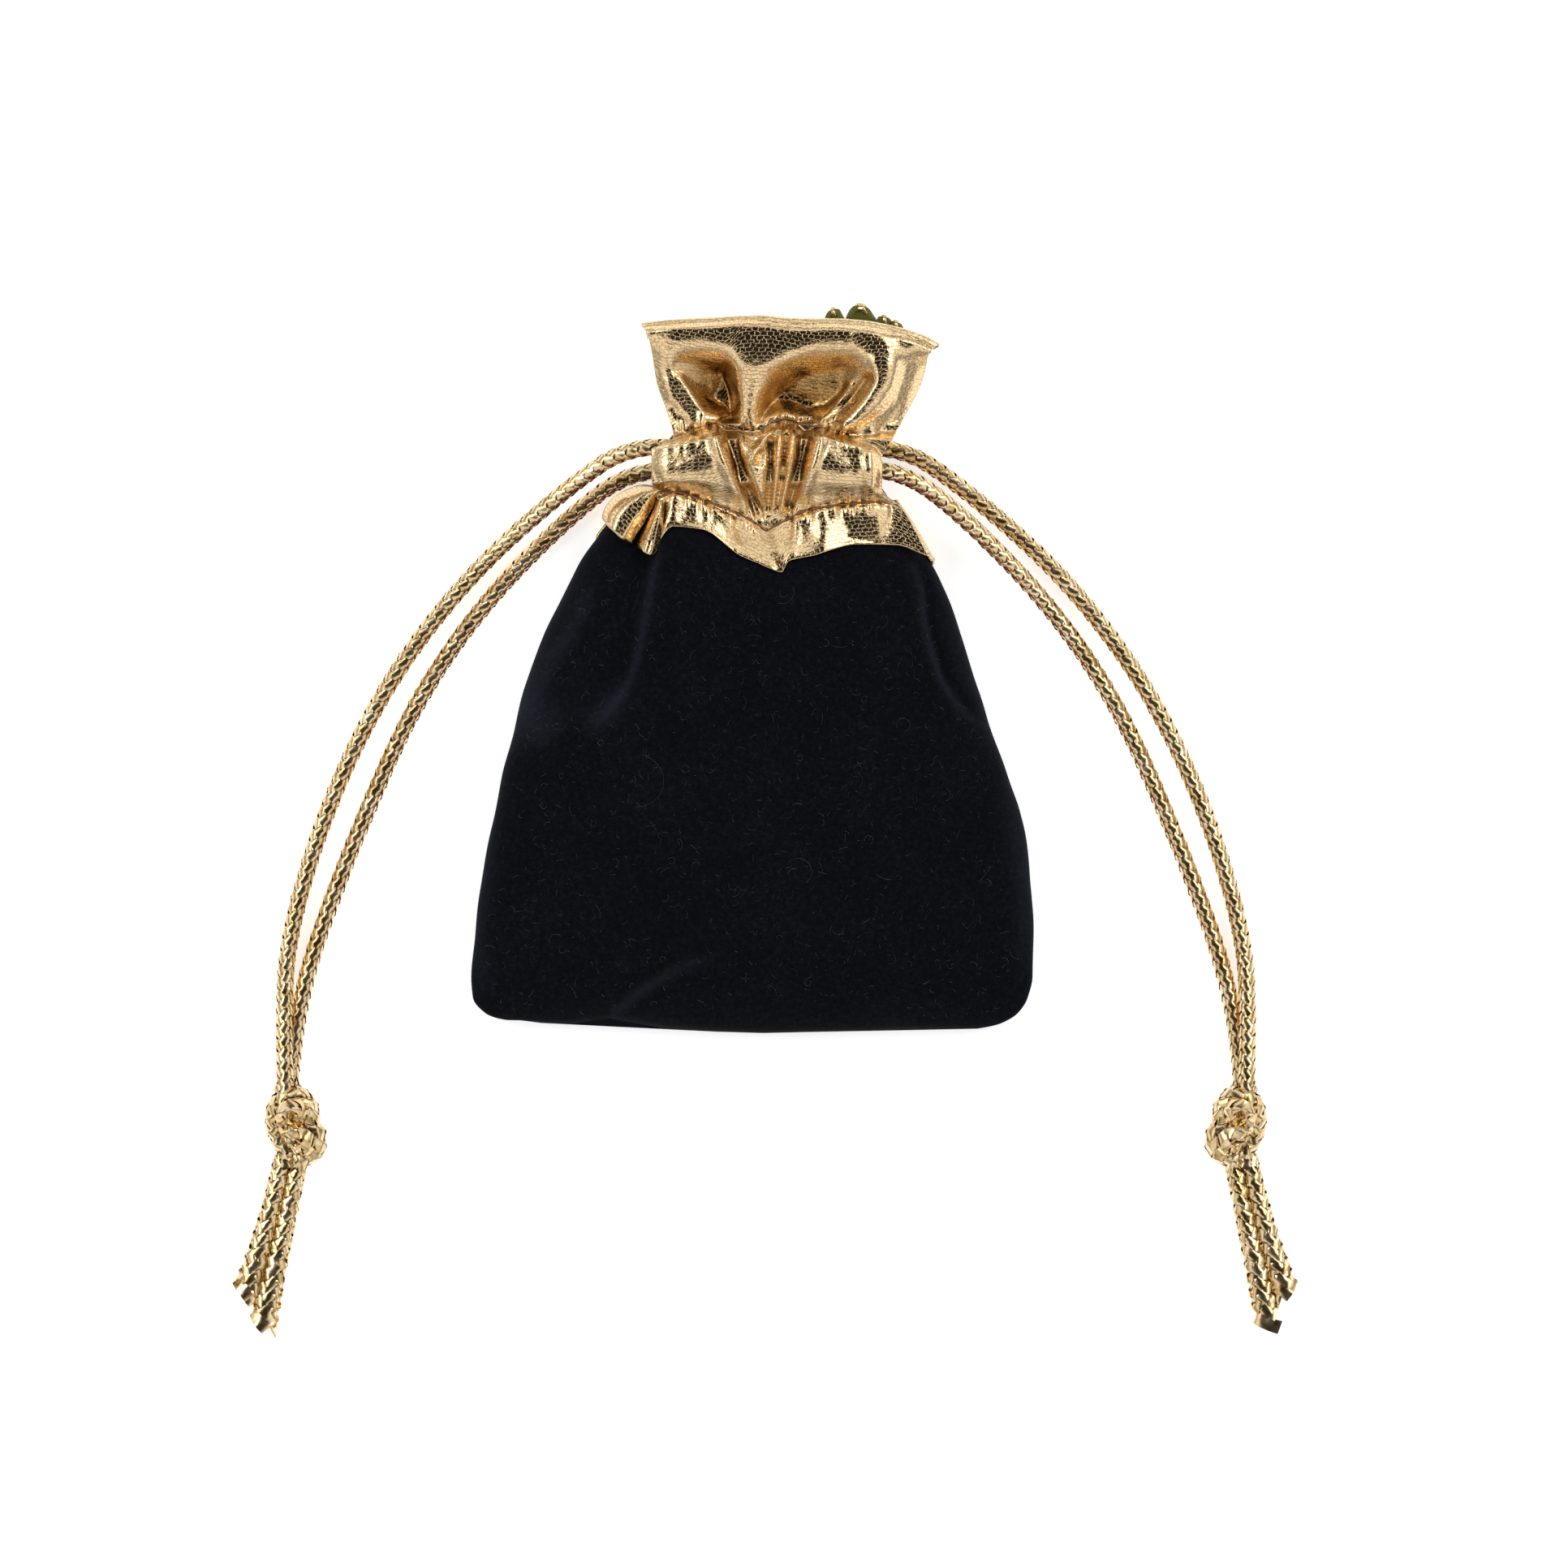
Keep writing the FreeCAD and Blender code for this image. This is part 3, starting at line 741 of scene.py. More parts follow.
# Ridges and grooves of the front velvet: path, width, height, and how far beside the path
VELVET_FOLDS = [
    (FOLD_LEFT, 1.5, -0.75, (-1.6, 0)),
    (RIDGE_LEFT, 1.3, 0.55, (0, 0)),
    (RIDGE_LEFT, 1.6, -0.45, (2.6, -0.8)),
    (FOLD_RIGHT, 0.9, -0.9, (0, 0)),
    (FOLD_RIGHT, 1.5, 0.55, (-1.9, -0.3)),
    (CREASE_BOTTOM, 1.6, -0.8, (0, 0)),
    (CREASE_BOTTOM, 2.2, 0.4, (2.6, -2.0)),
    ([(3.8, 12.0), (3.0, 4.0), (1.0, -6.0)], 3.0, -0.7, (0, 0)),
    ([(-6.0, 17.0), (-7.0, 6.0), (-9.5, -8.0)], 4.0, 0.35, (0, 0)),
    ([(13.0, 16.0), (14.0, 6.0), (17.0, -8.0)], 4.5, 0.35, (0, 0)),
]
# Painted sheen: where the velvet's colour is made lighter, along the folds' edges and in some patches
PAINTED_SHEEN_PATHS = [
    (FOLD_LEFT, 0.55, 0.42, (0.5, 0)),
    ([(-17.6, -2.6), (-19.4, -5.2), (-22.6, -7.6)], 1.6, 0.40, (0, 0)),
    (RIDGE_LEFT, 1.3, 0.30, (0, 0)),
    (FOLD_RIGHT, 0.45, 0.48, (-0.5, 0)),
    (CREASE_BOTTOM, 0.80, 0.40, (0.6, -0.4)),
    ([(-31.5, -3.0), (-29.0, -7.0), (-27.0, -9.5)], 3.2, 0.38, (0, 0)),
    ([(-35.5, -22.0), (-37.4, -36.0), (-36.0, -44.0)], 1.6, 0.28, (0, 0)),
    ([(35.0, -16.0), (37.6, -30.0), (37.2, -42.0)], 1.8, 0.30, (0, 0)),
]


def velvet_relief(x, y):
    """Folds and hollows of the front velvet, on top of its puffed shape."""
    return step_along(x, y, FOLD_LEFT, 0.35, 0.75) + sum(bump_along(x, y, *fold) for fold in VELVET_FOLDS)


def velvet_surface(front_columns=222, back_columns=66, rows=165):
    share = np.linspace(0, 1, rows)
    front = np.linspace(0, math.pi, front_columns, endpoint=False)
    angles = np.concatenate([front, np.linspace(math.pi, 2 * math.pi, back_columns, endpoint=False)])
    ys = POUCH[0, 0] + (BOTTOM_Y - POUCH[0, 0]) * (1 - (1 - share) ** 1.6)
    left, right, floor, crown = pouch_rows(ys)
    tall = end_round(ys)
    points = np.zeros((len(angles), rows, 3))
    for i, angle in enumerate(angles):
        c, s = math.cos(angle), math.sin(angle)
        reach = math.copysign(abs(c) ** (2 / PUFFINESS), c)
        lift = abs(s) ** (2 / PUFFINESS)
        x = (left + right) / 2 + (right - left) / 2 * reach
        y = ys + bottom_shift(x, ys)
        if s >= 0:
            z = SEAM_Z + (crown - SEAM_Z) * lift * tall
            z = z + velvet_relief(x, y) * min(1.0, lift * 1.6) * tall
        else:
            z = SEAM_Z + (floor - SEAM_Z) * lift * tall
        points[i] = np.stack([x, y, z], axis=1)
    return points


def make_velvet():
    surface = velvet_surface()
    columns, rows, _ = surface.shape
    points = surface.reshape(-1, 3)
    wobble = ripple(points, 9.0, 0.22, 1) + ripple(points, 3.2, 0.08, 2)
    points[:, 2] = np.maximum(points[:, 2] + np.where(points[:, 2] > 0.4, wobble, 0.0), 0.03)
    points[:, 0] += ripple(points, 6.0, 0.18, 3)
    faces = grid_faces(columns, rows, wrap=True)
    faces.append(tuple(i * rows + rows - 1 for i in range(columns)))
    # Painted sheen along the folds' edges and in some patches, on the upper side only
    sheen_sum = sum(bump_along(points[:, 0], points[:, 1], *patch) for patch in PAINTED_SHEEN_PATHS)
    amount = np.clip(sheen_sum, 0, 1) * (points[:, 2] > SEAM_Z)
    sheen_layer = np.stack([amount, np.zeros(len(amount))], axis=1)
    piece = make_object("velvet_pouch", points, faces, [VELVET], {"pushed_pile": sheen_layer})
    thicken(piece, 0.9, lined=False)
    return attach(piece, "bag", "black_velvet", "velvet_front_panel", "velvet_back_panel",
                  "left_seam_allowance", "right_seam_allowance", "bottom_seam_allowance")


velvet = make_velvet()


def velvet_height(x, y):
    """Height of the front velvet at a place on it."""
    y = np.atleast_1d(np.asarray(y, float))
    x = np.atleast_1d(np.asarray(x, float))
    left, right, _, crown = pouch_rows(y)
    t = np.clip(np.abs((x - (left + right) / 2) / ((right - left) / 2)), 0, 0.999)
    lift = (1 - t**PUFFINESS) ** (1 / PUFFINESS) * end_round(y)
    return SEAM_Z + (crown - SEAM_Z) * lift + velvet_relief(x, y) * np.minimum(1, lift * 1.6)


# The four long hairs: start, heading, curl, number of steps
HAIRS = [(-14.8, -11.2, -0.2, -0.13, 46), (5.0, -25.6, 0.7, -0.25, 26), (20.6, -8.0, 0.3, 0.50, 20),
         (3.2, 9.6, -0.6, 0.30, 18)]
FIBRES = 1250


def make_lint():
    """Loose curly fibres caught in the pile: many short ones, some longer, and a few long hairs."""
    points, faces = [], []
    for given in HAIRS + [None] * FIBRES:
        if given:
            x, y, heading, curl, steps = given
            stride, radius = 0.24, 0.020
        else:
            x, y = rng.uniform(-36, 36), rng.uniform(-46.5, 15.5)
            heading, curl = rng.uniform(0, 2 * math.pi), rng.uniform(-1.3, 1.3)
            steps = rng.randint(8, 14) if rng.random() < 0.12 else rng.randint(3, 7)
            stride, radius = rng.uniform(0.10, 0.20), rng.uniform(0.010, 0.022)
        # None lies over the pouch's edge
        if abs(x) / np.interp(y, POUCH[::-1, 0], POUCH[::-1, 2]) > 0.93:
            continue
        trail = []
        for _ in range(steps):
            trail.append((x, y))
            x += math.cos(heading) * stride
            y += math.sin(heading) * stride
            heading += curl * stride * 2.2
        heights = velvet_height([p[0] for p in trail], [p[1] for p in trail])
        faces += ring_faces(steps, 3, len(points), capped=False)
        for k, (px, py) in enumerate(trail):
            h = heights[k] + 0.10 + 0.12 * math.sin(math.pi * k / steps)
            for a in (0, 2 * math.pi / 3, 4 * math.pi / 3):
                points.append((px + math.cos(a) * radius, py + math.sin(a) * radius,
                               h + math.sin(a + 1.0) * radius))
    return attach(make_object("velvet_lint", points, faces, [LINT]), "bag", "black_velvet")


# Two panels of 76 by 71 mm, sewn together at the sides and the bottom
make_lint()


# ---------------------------------------------------------------- gold collar

# The collar's cloth from its left edge to its right edge, at these shares of its width. Each level
# has one place (x, y, z) for each share, from the hem edge, which lies on the velvet and needs no z,
# up to the rim. CHANNEL_LIFT is how far above the channel's middle its puffed upper side lies.
CLOTH_AT = [0.0, 0.07, 0.17, 0.30, 0.37, 0.43, 0.49, 0.55, 0.63, 0.76, 0.90, 1.0]
HEM_EDGE = [(-12.7, 17.6), (-10.6, 19.8), (-6.7, 19.4), (-1.6, 15.9), (0.9, 14.8), (2.7, 14.0),
            (4.0, 13.6), (5.0, 15.1), (8.4, 15.9), (14.2, 17.4), (19.4, 17.3), (23.9, 15.7)]
LOWER_STITCH = [(-12.7, 23.3, 9.0), (-10.6, 24.4, 10.0), (-6.2, 23.1, 10.3), (-0.4, 20.7, 10.1),
                (1.0, 19.9, 10.1), (2.0, 19.2, 10.0), (2.9, 19.7, 10.1), (4.3, 20.4, 10.1),
                (7.5, 21.9, 10.7), (13.0, 22.7, 11.1), (17.2, 23.0, 10.6), (20.3, 22.1, 8.6)]
CHANNEL = [(-13.5, 28.0, 12.0), (-11.2, 28.1, 13.5), (-6.5, 28.3, 14.2), (-1.7, 28.3, 13.6),
           (0.5, 28.3, 13.3), (2.2, 28.3, 13.2), (4.2, 28.3, 13.2), (6.0, 28.2, 13.4),
           (8.4, 28.1, 13.9), (12.6, 27.9, 14.3), (16.0, 27.5, 13.8), (17.6, 27.1, 12.0)]
CHANNEL_LIFT = [2.0, 2.2, 2.9, 3.7, 3.4, 3.3, 3.4, 3.5, 3.6, 2.9, 2.3, 1.9]
UPPER_STITCH = [(-10.6, 31.7, 9.4), (-9.0, 32.3, 10.2), (-5.0, 33.6, 10.5), (-2.4, 33.0, 10.1),
                (0.4, 32.3, 9.9), (2.8, 33.8, 10.0), (4.9, 34.2, 10.1), (6.9, 33.4, 10.1),
                (9.3, 33.1, 10.5), (12.9, 32.1, 10.9), (16.2, 31.2, 10.4), (18.2, 30.2, 8.8)]
RUFFLE = [(-12.9, 39.3, 9.7), (-10.7, 39.4, 11.2), (-6.9, 39.3, 11.7), (-2.8, 39.2, 11.6),
          (0.0, 39.1, 11.6), (2.8, 39.1, 11.6), (5.8, 39.1, 11.8), (8.8, 39.1, 12.0),
          (12.8, 39.0, 12.2), (16.8, 38.8, 12.2), (20.2, 38.6, 11.0), (22.7, 38.5, 8.2)]
SHOULDER = [(-13.4, 42.4, 10.5), (-10.7, 42.3, 11.9), (-6.4, 42.2, 12.6), (-2.4, 42.2, 12.7),
            (0.6, 42.1, 12.75), (3.2, 42.1, 12.75), (6.4, 42.2, 12.8), (9.6, 42.3, 12.8),
            (13.6, 42.2, 12.8), (17.6, 41.8, 12.7), (21.0, 41.2, 11.3), (23.4, 40.6, 8.4)]
CREST = [(-14.1, 45.7, 12.0), (-10.6, 46.1, 12.7), (-5.6, 46.2, 13.0), (-1.6, 46.5, 13.05),
         (0.6, 46.4, 13.05), (3.6, 46.0, 13.0), (7.0, 45.8, 13.0), (10.4, 46.0, 12.95),
         (14.2, 45.7, 12.85), (18.2, 45.1, 12.6), (21.6, 44.2, 12.2), (24.0, 43.3, 11.3)]
RIM = [(-14.6, 46.6, 11.3), (-10.6, 47.0, 11.5), (-5.2, 47.3, 12.0), (-1.0, 47.6, 12.1),
       (1.0, 47.6, 12.1), (4.0, 47.3, 12.05), (7.2, 47.1, 12.0), (10.6, 47.1, 12.0),
       (14.4, 46.9, 11.9), (18.6, 46.2, 11.7), (22.4, 45.2, 11.3), (24.9, 44.0, 10.5)]
# The levels' shares of the cloth's height, with one more level on each side of the channel's middle
LEVEL_AT = [0.0, 0.16, 0.25, 0.33, 0.43, 0.49, 0.68, 0.82, 0.93, 1.0]
COLUMNS = 300
ROWS = 170
LOWER_AT = 0.16
UPPER_AT = 0.49

LOWER_LINE = [(-12.7, 23.3), (-11.4, 24.3), (-10.4, 24.4), (-8.4, 23.9), (-5.8, 22.9), (-3.6, 21.8),
              (-0.3, 20.6), (1.0, 19.9), (2.0, 19.2), (2.9, 19.7), (4.3, 20.4), (6.9, 21.6),
              (9.8, 22.5), (13.0, 22.7), (17.2, 23.0), (20.3, 22.1)]
UPPER_LINE = [p[:2] for p in UPPER_STITCH]

# Folds of the front collar: path, widths and heights at its two ends, and where given, how square
FOLDS = [
    # the crest that curls round the ruffle's right hollow, and the small folds inside the hollow
    ([(15.6, 44.8), (17.4, 43.2), (18.1, 41.0), (17.8, 38.8), (16.0, 36.4), (12.7, 33.8)],
     (2.3, 1.5), (0.3, 1.2), 4),
    ([(15.4, 39.4), (13.4, 36.4), (11.4, 34.0)], (0.8, 0.7), (-1.1, -1.2)),
    ([(13.2, 38.6), (11.2, 36.0), (9.8, 34.4)], (0.7, 0.6), (0.6, 0.6)),
    ([(-9.6, 39.6), (-7.8, 37.0), (-6.6, 35.2)], (0.8, 0.7), (0.45, 0.5)),
    ([(21.4, 41.5), (19.8, 37.0), (17.6, 33.0)], (1.1, 1.0), (-0.45, -0.5)),
    ([(-10.4, 35.6), (-8.6, 33.2)], (0.8, 0.8), (-0.5, -0.6)),
    # gathers of the channel
    ([(-3.5, 33.4), (-2.7, 31.0), (-1.3, 26.5), (0.9, 21.6)], (0.95, 0.70), (-3.0, -1.9)),
    ([(-5.0, 32.0), (-3.9, 28.4), (-2.0, 24.0)], (0.9, 0.8), (0.8, 0.5)),
    ([(-1.7, 32.4), (0.5, 31.2)], (0.9, 0.9), (-1.3, -1.1)),
    ([(2.9, 32.8), (0.8, 30.2), (-0.2, 28.6)], (0.6, 0.7), (1.2, 0.8)),
    ([(1.3, 29.3), (0.9, 28.3)], (0.7, 0.7), (-0.7, -0.6)),
    ([(0.6, 27.8), (1.2, 24.4)], (1.0, 0.8), (0.5, 0.5)),
    ([(2.5, 31.4), (2.5, 27.0), (2.2, 22.0)], (0.42, 0.48), (-1.3, -1.1)),
    ([(3.9, 32.8), (3.5, 28.0), (2.9, 22.2)], (0.50, 0.45), (0.8, 0.5)),
    ([(4.6, 32.0), (4.2, 27.0), (3.4, 22.2)], (0.38, 0.35), (-0.9, -0.7)),
    ([(5.7, 32.4), (5.1, 27.0), (4.0, 22.0)], (0.60, 0.50), (1.0, 0.6)),
    ([(7.4, 33.2), (6.6, 28.5), (5.1, 22.4)], (0.85, 0.65), (-2.5, -1.6)),
    ([(9.5, 32.0), (8.6, 28.5), (7.0, 24.0)], (0.8, 0.8), (0.8, 0.6)),
    ([(-10.4, 28.9), (-7.0, 29.3), (-4.2, 26.0)], (1.9, 1.5), (-0.35, -0.45)),
    ([(11.0, 31.6), (13.4, 28.8), (14.4, 25.2)], (1.7, 1.5), (-0.45, -0.45)),
    ([(15.7, 29.4), (15.9, 25.4)], (0.9, 0.9), (0.40, 0.35)),
    # the hem's folds around its point
    ([(2.1, 19.6), (3.0, 16.6), (4.2, 13.6)], (0.7, 0.8), (-1.3, -1.3)),
    ([(0.2, 20.2), (1.8, 16.6), (3.0, 14.2)], (0.8, 0.7), (0.5, 0.4)),
    ([(-4.4, 22.0), (-2.2, 17.2)], (1.1, 1.1), (0.55, 0.4)),
    ([(-8.4, 23.4), (-7.8, 20.0)], (1.2, 1.2), (-0.35, -0.3)),
    ([(-10.8, 23.8), (-10.6, 20.4)], (0.9, 0.9), (0.35, 0.3)),
    ([(6.4, 21.0), (5.4, 16.2)], (0.8, 0.9), (0.5, 0.4)),
    ([(9.6, 22.0), (9.6, 17.0)], (1.2, 1.3), (0.40, 0.3)),
    ([(12.6, 22.4), (13.2, 17.8)], (1.2, 1.3), (-0.35, -0.25)),
    ([(16.6, 22.4), (18.0, 17.8)], (1.2, 1.5), (0.35, 0.25)),
]


# The ruffle's two hollows: corners of each outline with how steeply its wall falls there,
# then the floor's depth at a place and how that changes to the right and upwards
HOLLOWS = [
    ([(-11.0, 41.2, 1.0), (-10.4, 42.7, 1.1), (-8.6, 43.4, 1.2), (-5.9, 43.4, 1.2), (-3.6, 42.8, 1.5),
      (-2.2, 41.0, 2.2), (-1.7, 37.8, 3.0), (-1.6, 35.2, 2.8), (-2.2, 33.2, 2.2), (-4.6, 34.5, 2.0),
      (-7.4, 35.2, 1.0), (-9.8, 38.0, 0.8)],
     (-6.5, 38.0), (3.3, 0.52, -0.03)),
    ([(0.6, 33.3, 2.4), (0.9, 35.6, 2.4), (1.9, 38.5, 1.7), (3.6, 41.0, 1.3), (6.0, 42.6, 1.15),
      (8.9, 43.3, 1.1), (12.1, 43.4, 1.1), (14.2, 42.7, 1.0), (15.2, 41.3, 0.9), (15.4, 39.4, 0.8),
      (14.4, 37.0, 1.2), (12.7, 35.3, 1.4), (10.8, 34.3, 1.4), (7.6, 34.0, 1.8), (4.2, 35.0, 1.8)],
     (8.5, 38.0), (3.7, -0.10, -0.04)),
]
# The gentle lip around a hollow: how far out it starts and how steeply it falls
LIP = 1.25
LIP_SLOPE = 0.42
SOFTENING_ROUNDS = 18


def outline_distance(x, y, outline):
    """Distance inside a smooth closed outline, negative outside, and the outline's third value nearby."""
    corners = np.array(outline + outline[:3], float)
    places = np.arange(len(corners))
    ring = smooth_through(places, corners, np.linspace(1, len(outline) + 1, 8 * len(outline) + 1))
    best = np.full(x.shape, 1e9)
    value = np.zeros(x.shape)
    inside = np.zeros(x.shape, bool)
    for a, b in zip(ring[:-1], ring[1:]):
        run = b[:2] - a[:2]
        t = np.clip(((x - a[0]) * run[0] + (y - a[1]) * run[1]) / max(run @ run, 1e-9), 0, 1)
        reach = np.hypot(x - a[0] - t * run[0], y - a[1] - t * run[1])
        closer = reach < best
        best = np.where(closer, reach, best)
        value = np.where(closer, a[2] + (b[2] - a[2]) * t, value)
        if a[1] != b[1]:
            beyond = x < a[0] + (b[0] - a[0]) * (y - a[1]) / (b[1] - a[1])
            inside ^= ((a[1] > y) != (b[1] > y)) & beyond
    return np.where(inside, best, -best), value


def softened(z, rounds):
    """The height field with its sharpest creases eased."""
    for _ in range(rounds):
        for axis in (0, 1):
            padded = np.concatenate([z.take([0], axis), z, z.take([-1], axis)], axis=axis)
            count = z.shape[axis]
            z = (padded.take(range(count), axis) + 2 * z + padded.take(range(2, count + 2), axis)) / 4
    return z


def hollows(x, y):
    """How deep the ruffle's hollows are: a gentle lip, then a steep wall down to a tilted floor."""
    depth = np.zeros(x.shape)
    for outline, (at_x, at_y), (floor, tilt_x, tilt_y) in HOLLOWS:
        inside, steep = outline_distance(x, y, outline)
        wall = LIP_SLOPE * np.maximum(0, inside + LIP) + (steep - LIP_SLOPE) * np.maximum(0, inside)
        deepest = floor + tilt_x * (x - at_x) + tilt_y * (y - at_y)
        streaks = 0.09 * np.sin(2 * math.pi * y / 1.15 + 1.5 * np.sin(x * 0.7)) * np.clip(inside, 0, 1)
        gap = deepest + streaks - wall
        depth = np.maximum(depth, wall + np.minimum(0, gap))
    return softened(depth, SOFTENING_ROUNDS)


def collar_relief(x, y):
    """Folds, hollows, stitch grooves and puckers of the front collar."""
    z = -hollows(x, y)
    for path, widths, heights, *square in FOLDS:
        reach, _, along = path_distance(x, y, path)
        width = widths[0] + (widths[1] - widths[0]) * along
        height = heights[0] + (heights[1] - heights[0]) * along
        z += height * np.exp(-((reach / width) ** (square[0] if square else 2)))
    for line, seed in ((LOWER_LINE, 0.4), (UPPER_LINE, 1.7)):
        reach, _, _ = path_distance(x, y, line)
        z -= 0.55 * np.exp(-((reach / 0.42) ** 2))
        drift = np.sin(x * 0.9 + seed) * 1.3 + np.sin(x * 2.3 + seed * 2) * 0.5
        pucker = np.sin(2 * math.pi * x / 1.75 + drift)
        z += 0.20 * pucker * np.exp(-((reach / 1.5) ** 2))
    return z


# The lowest height of the front cloth in the ruffle, and where it is higher: below the neck and
# over the cords
LOWEST_RUFFLE = 6.8
NECK_TOP_Y = 34.8
NECK_EASE = 1.4
CORDS_Y = 28.5
CLEARANCE = 0.4


def eased(t):
    """A smooth step from 0 to 1."""
    t = np.clip(t, 0, 1)
    return t**2 * (3 - 2 * t)


def front_collar():
    """The whole front collar's surface, as columns across and rows from the hem to the rim,
    and how deep in a fold each of its points lies, 0 to 1, for the gold's painted shade."""
    edge_heights = velvet_height([p[0] for p in HEM_EDGE], [p[1] for p in HEM_EDGE])
    hem_edge = [(x, y, h + 0.55) for (x, y), h in zip(HEM_EDGE, edge_heights)]
    # The channel is puffed: it stays high on both sides of its middle
    channel_low = [(x, y - 2.3, z - 0.80) for x, y, z in CHANNEL]
    channel_high = [(x, y + lift, z - 0.45) for (x, y, z), lift in zip(CHANNEL, CHANNEL_LIFT)]
    levels = [hem_edge, LOWER_STITCH, channel_low, CHANNEL, channel_high, UPPER_STITCH, RUFFLE,
              SHOULDER, CREST, RIM]
    us = np.linspace(0, 1, COLUMNS)
    vs = np.linspace(0, 1, ROWS)
    lines = np.stack([smooth_through(CLOTH_AT, level, us) for level in levels], axis=1)
    points = np.stack([smooth_through(LEVEL_AT, lines[i], vs) for i in range(COLUMNS)])
    x, y = points[:, :, 0], points[:, :, 1]
    fade = np.clip(np.minimum(us, 1 - us) / 0.04, 0, 1)[:, None]
    relief = collar_relief(x, y) * (0.35 + 0.65 * fade)
    points[:, :, 2] += relief
    # How deep in a fold each point lies, which darkens the gold as painted shade
    depth = np.clip((-relief - 0.4) / 2.6, 0, 1) ** 0.8
    flat = points.reshape(-1, 3)
    flat[:, 2] += ripple(flat, 3.0, 0.09, 4) + ripple(flat, 1.2, 0.03, 5)
    # The cloth never sinks into the cords that it holds or into the velvet below
    below_neck = eased((NECK_TOP_Y - y) / NECK_EASE)
    over_cords = eased((4.2 - np.abs(y - CORDS_Y)) / NECK_EASE)
    low = LOWEST_RUFFLE + 2.6 * below_neck + 2.3 * over_cords
    cover = velvet_height(x.ravel(), np.minimum(y, POUCH[0, 0]).ravel()).reshape(COLUMNS, ROWS)
    low = np.where(y < 24.0, np.maximum(low, cover + 0.5), low)
    gap = points[:, :, 2] - low
    near = CLEARANCE * np.exp(np.minimum(gap / CLEARANCE - 1, 0))
    points[:, :, 2] = low + np.where(gap > CLEARANCE, gap, near)
    return points, depth


def arc_lengths(points, axis):
    """Distance along the cloth at each point, from its middle."""
    steps = np.linalg.norm(np.diff(points, axis=axis), axis=2)
    start = np.zeros_like(np.take(steps, [0], axis=axis))
    total = np.concatenate([start, np.cumsum(steps, axis=axis)], axis=axis)
    return total - np.take(total, [total.shape[axis] // 2], axis=axis)


def cloth_layers(points, depth=None):
    """The cloth's own coordinates in mm, and how deep in a fold each point lies, for the gold's painted
    shade.
    """
    own = np.stack([arc_lengths(points, 0), arc_lengths(points, 1)], axis=2).reshape(-1, 2)
    shade_layer = np.zeros(own.shape)
    if depth is not None:
        shade_layer[:, 0] = depth.ravel()
    return {"cloth": own, "fold_depth": shade_layer}


def cloth_piece(name, points, body, nodes, flip=False, thickness=0.4, materials=(GOLD, OLIVE), depth=None):
    """A sheet of cloth from a grid of points, gold outside and olive inside."""
    faces = grid_faces(*points.shape[:2])
    if flip:
        faces = flipped(faces)
    piece = make_object(name, points.reshape(-1, 3), faces, materials, cloth_layers(points, depth))
    thicken(piece, thickness)
    return attach(piece, body, "gold_foil_knit", *nodes)


STITCH_RINGS = 9
THREAD_RADIUS = 0.115
LONGEST_STITCH = 2.3


def turned_edge(edge, before, steps, down):
    """Rows of points past a sheet's edge: steps outwards, level, and along down."""
    out = unit((edge - before) * np.array([1, 1, 0.0]))
    return [(edge + out * forward + UP * (down * drop))[:, None] for forward, drop in steps]


def roll_rim(points, turn=-1):
    """The rim folds over and ends inside the mouth. turn is -1 where that is downwards."""
    steps = ((0.28, 0.06), (0.50, 0.22), (0.62, 0.46), (0.66, 0.75), (0.58, 1.05), (0.38, 1.32),
             (0.05, 1.50), (-0.5, 1.60))
    return np.concatenate([points] + turned_edge(points[:, -1], points[:, -5], steps, turn), axis=1)


def tucked_edge(points):
    """The hem's lower edge turns under with a soft round."""
    steps = ((-0.2, 0.62), (0.12, 0.50), (0.22, 0.28), (0.14, 0.08))
    return np.concatenate(turned_edge(points[:, 0], points[:, 4], steps, -1) + [points], axis=1)


def stitches(name, line, node, lift):
    """Separate running stitches lying in the groove along a line of the cloth."""
    line = line + UP * lift(line[:, 0])[:, None]
    lengths = run_lengths(line)
    bow = np.sin(np.linspace(0, math.pi, STITCH_RINGS))
    radii = THREAD_RADIUS * (0.35 + 0.65 * bow**0.5)
    verts, faces = [], []
    place = 0.3
    while place < lengths[-1] - LONGEST_STITCH:
        size = rng.uniform(1.7, LONGEST_STITCH)
        run = resampled(line, lengths, np.linspace(place, place + size, STITCH_RINGS))
        run[:, 2] += 0.12 * bow - 0.06
        tangents = unit(np.gradient(run, axis=0))
        side = unit(np.cross(tangents, UP))
        up = np.cross(side, tangents)
        faces += ring_faces(STITCH_RINGS, 6, len(verts))
        for k in range(STITCH_RINGS):
            for m in range(6):
                a = math.pi * m / 3
                verts.append(run[k] + side[k] * math.cos(a) * radii[k] + up[k] * math.sin(a) * radii[k])
        place += size + rng.uniform(0.05, 0.20)
    return attach(make_object(name, verts, faces, [THREAD]), "bag", "brown_thread", node)


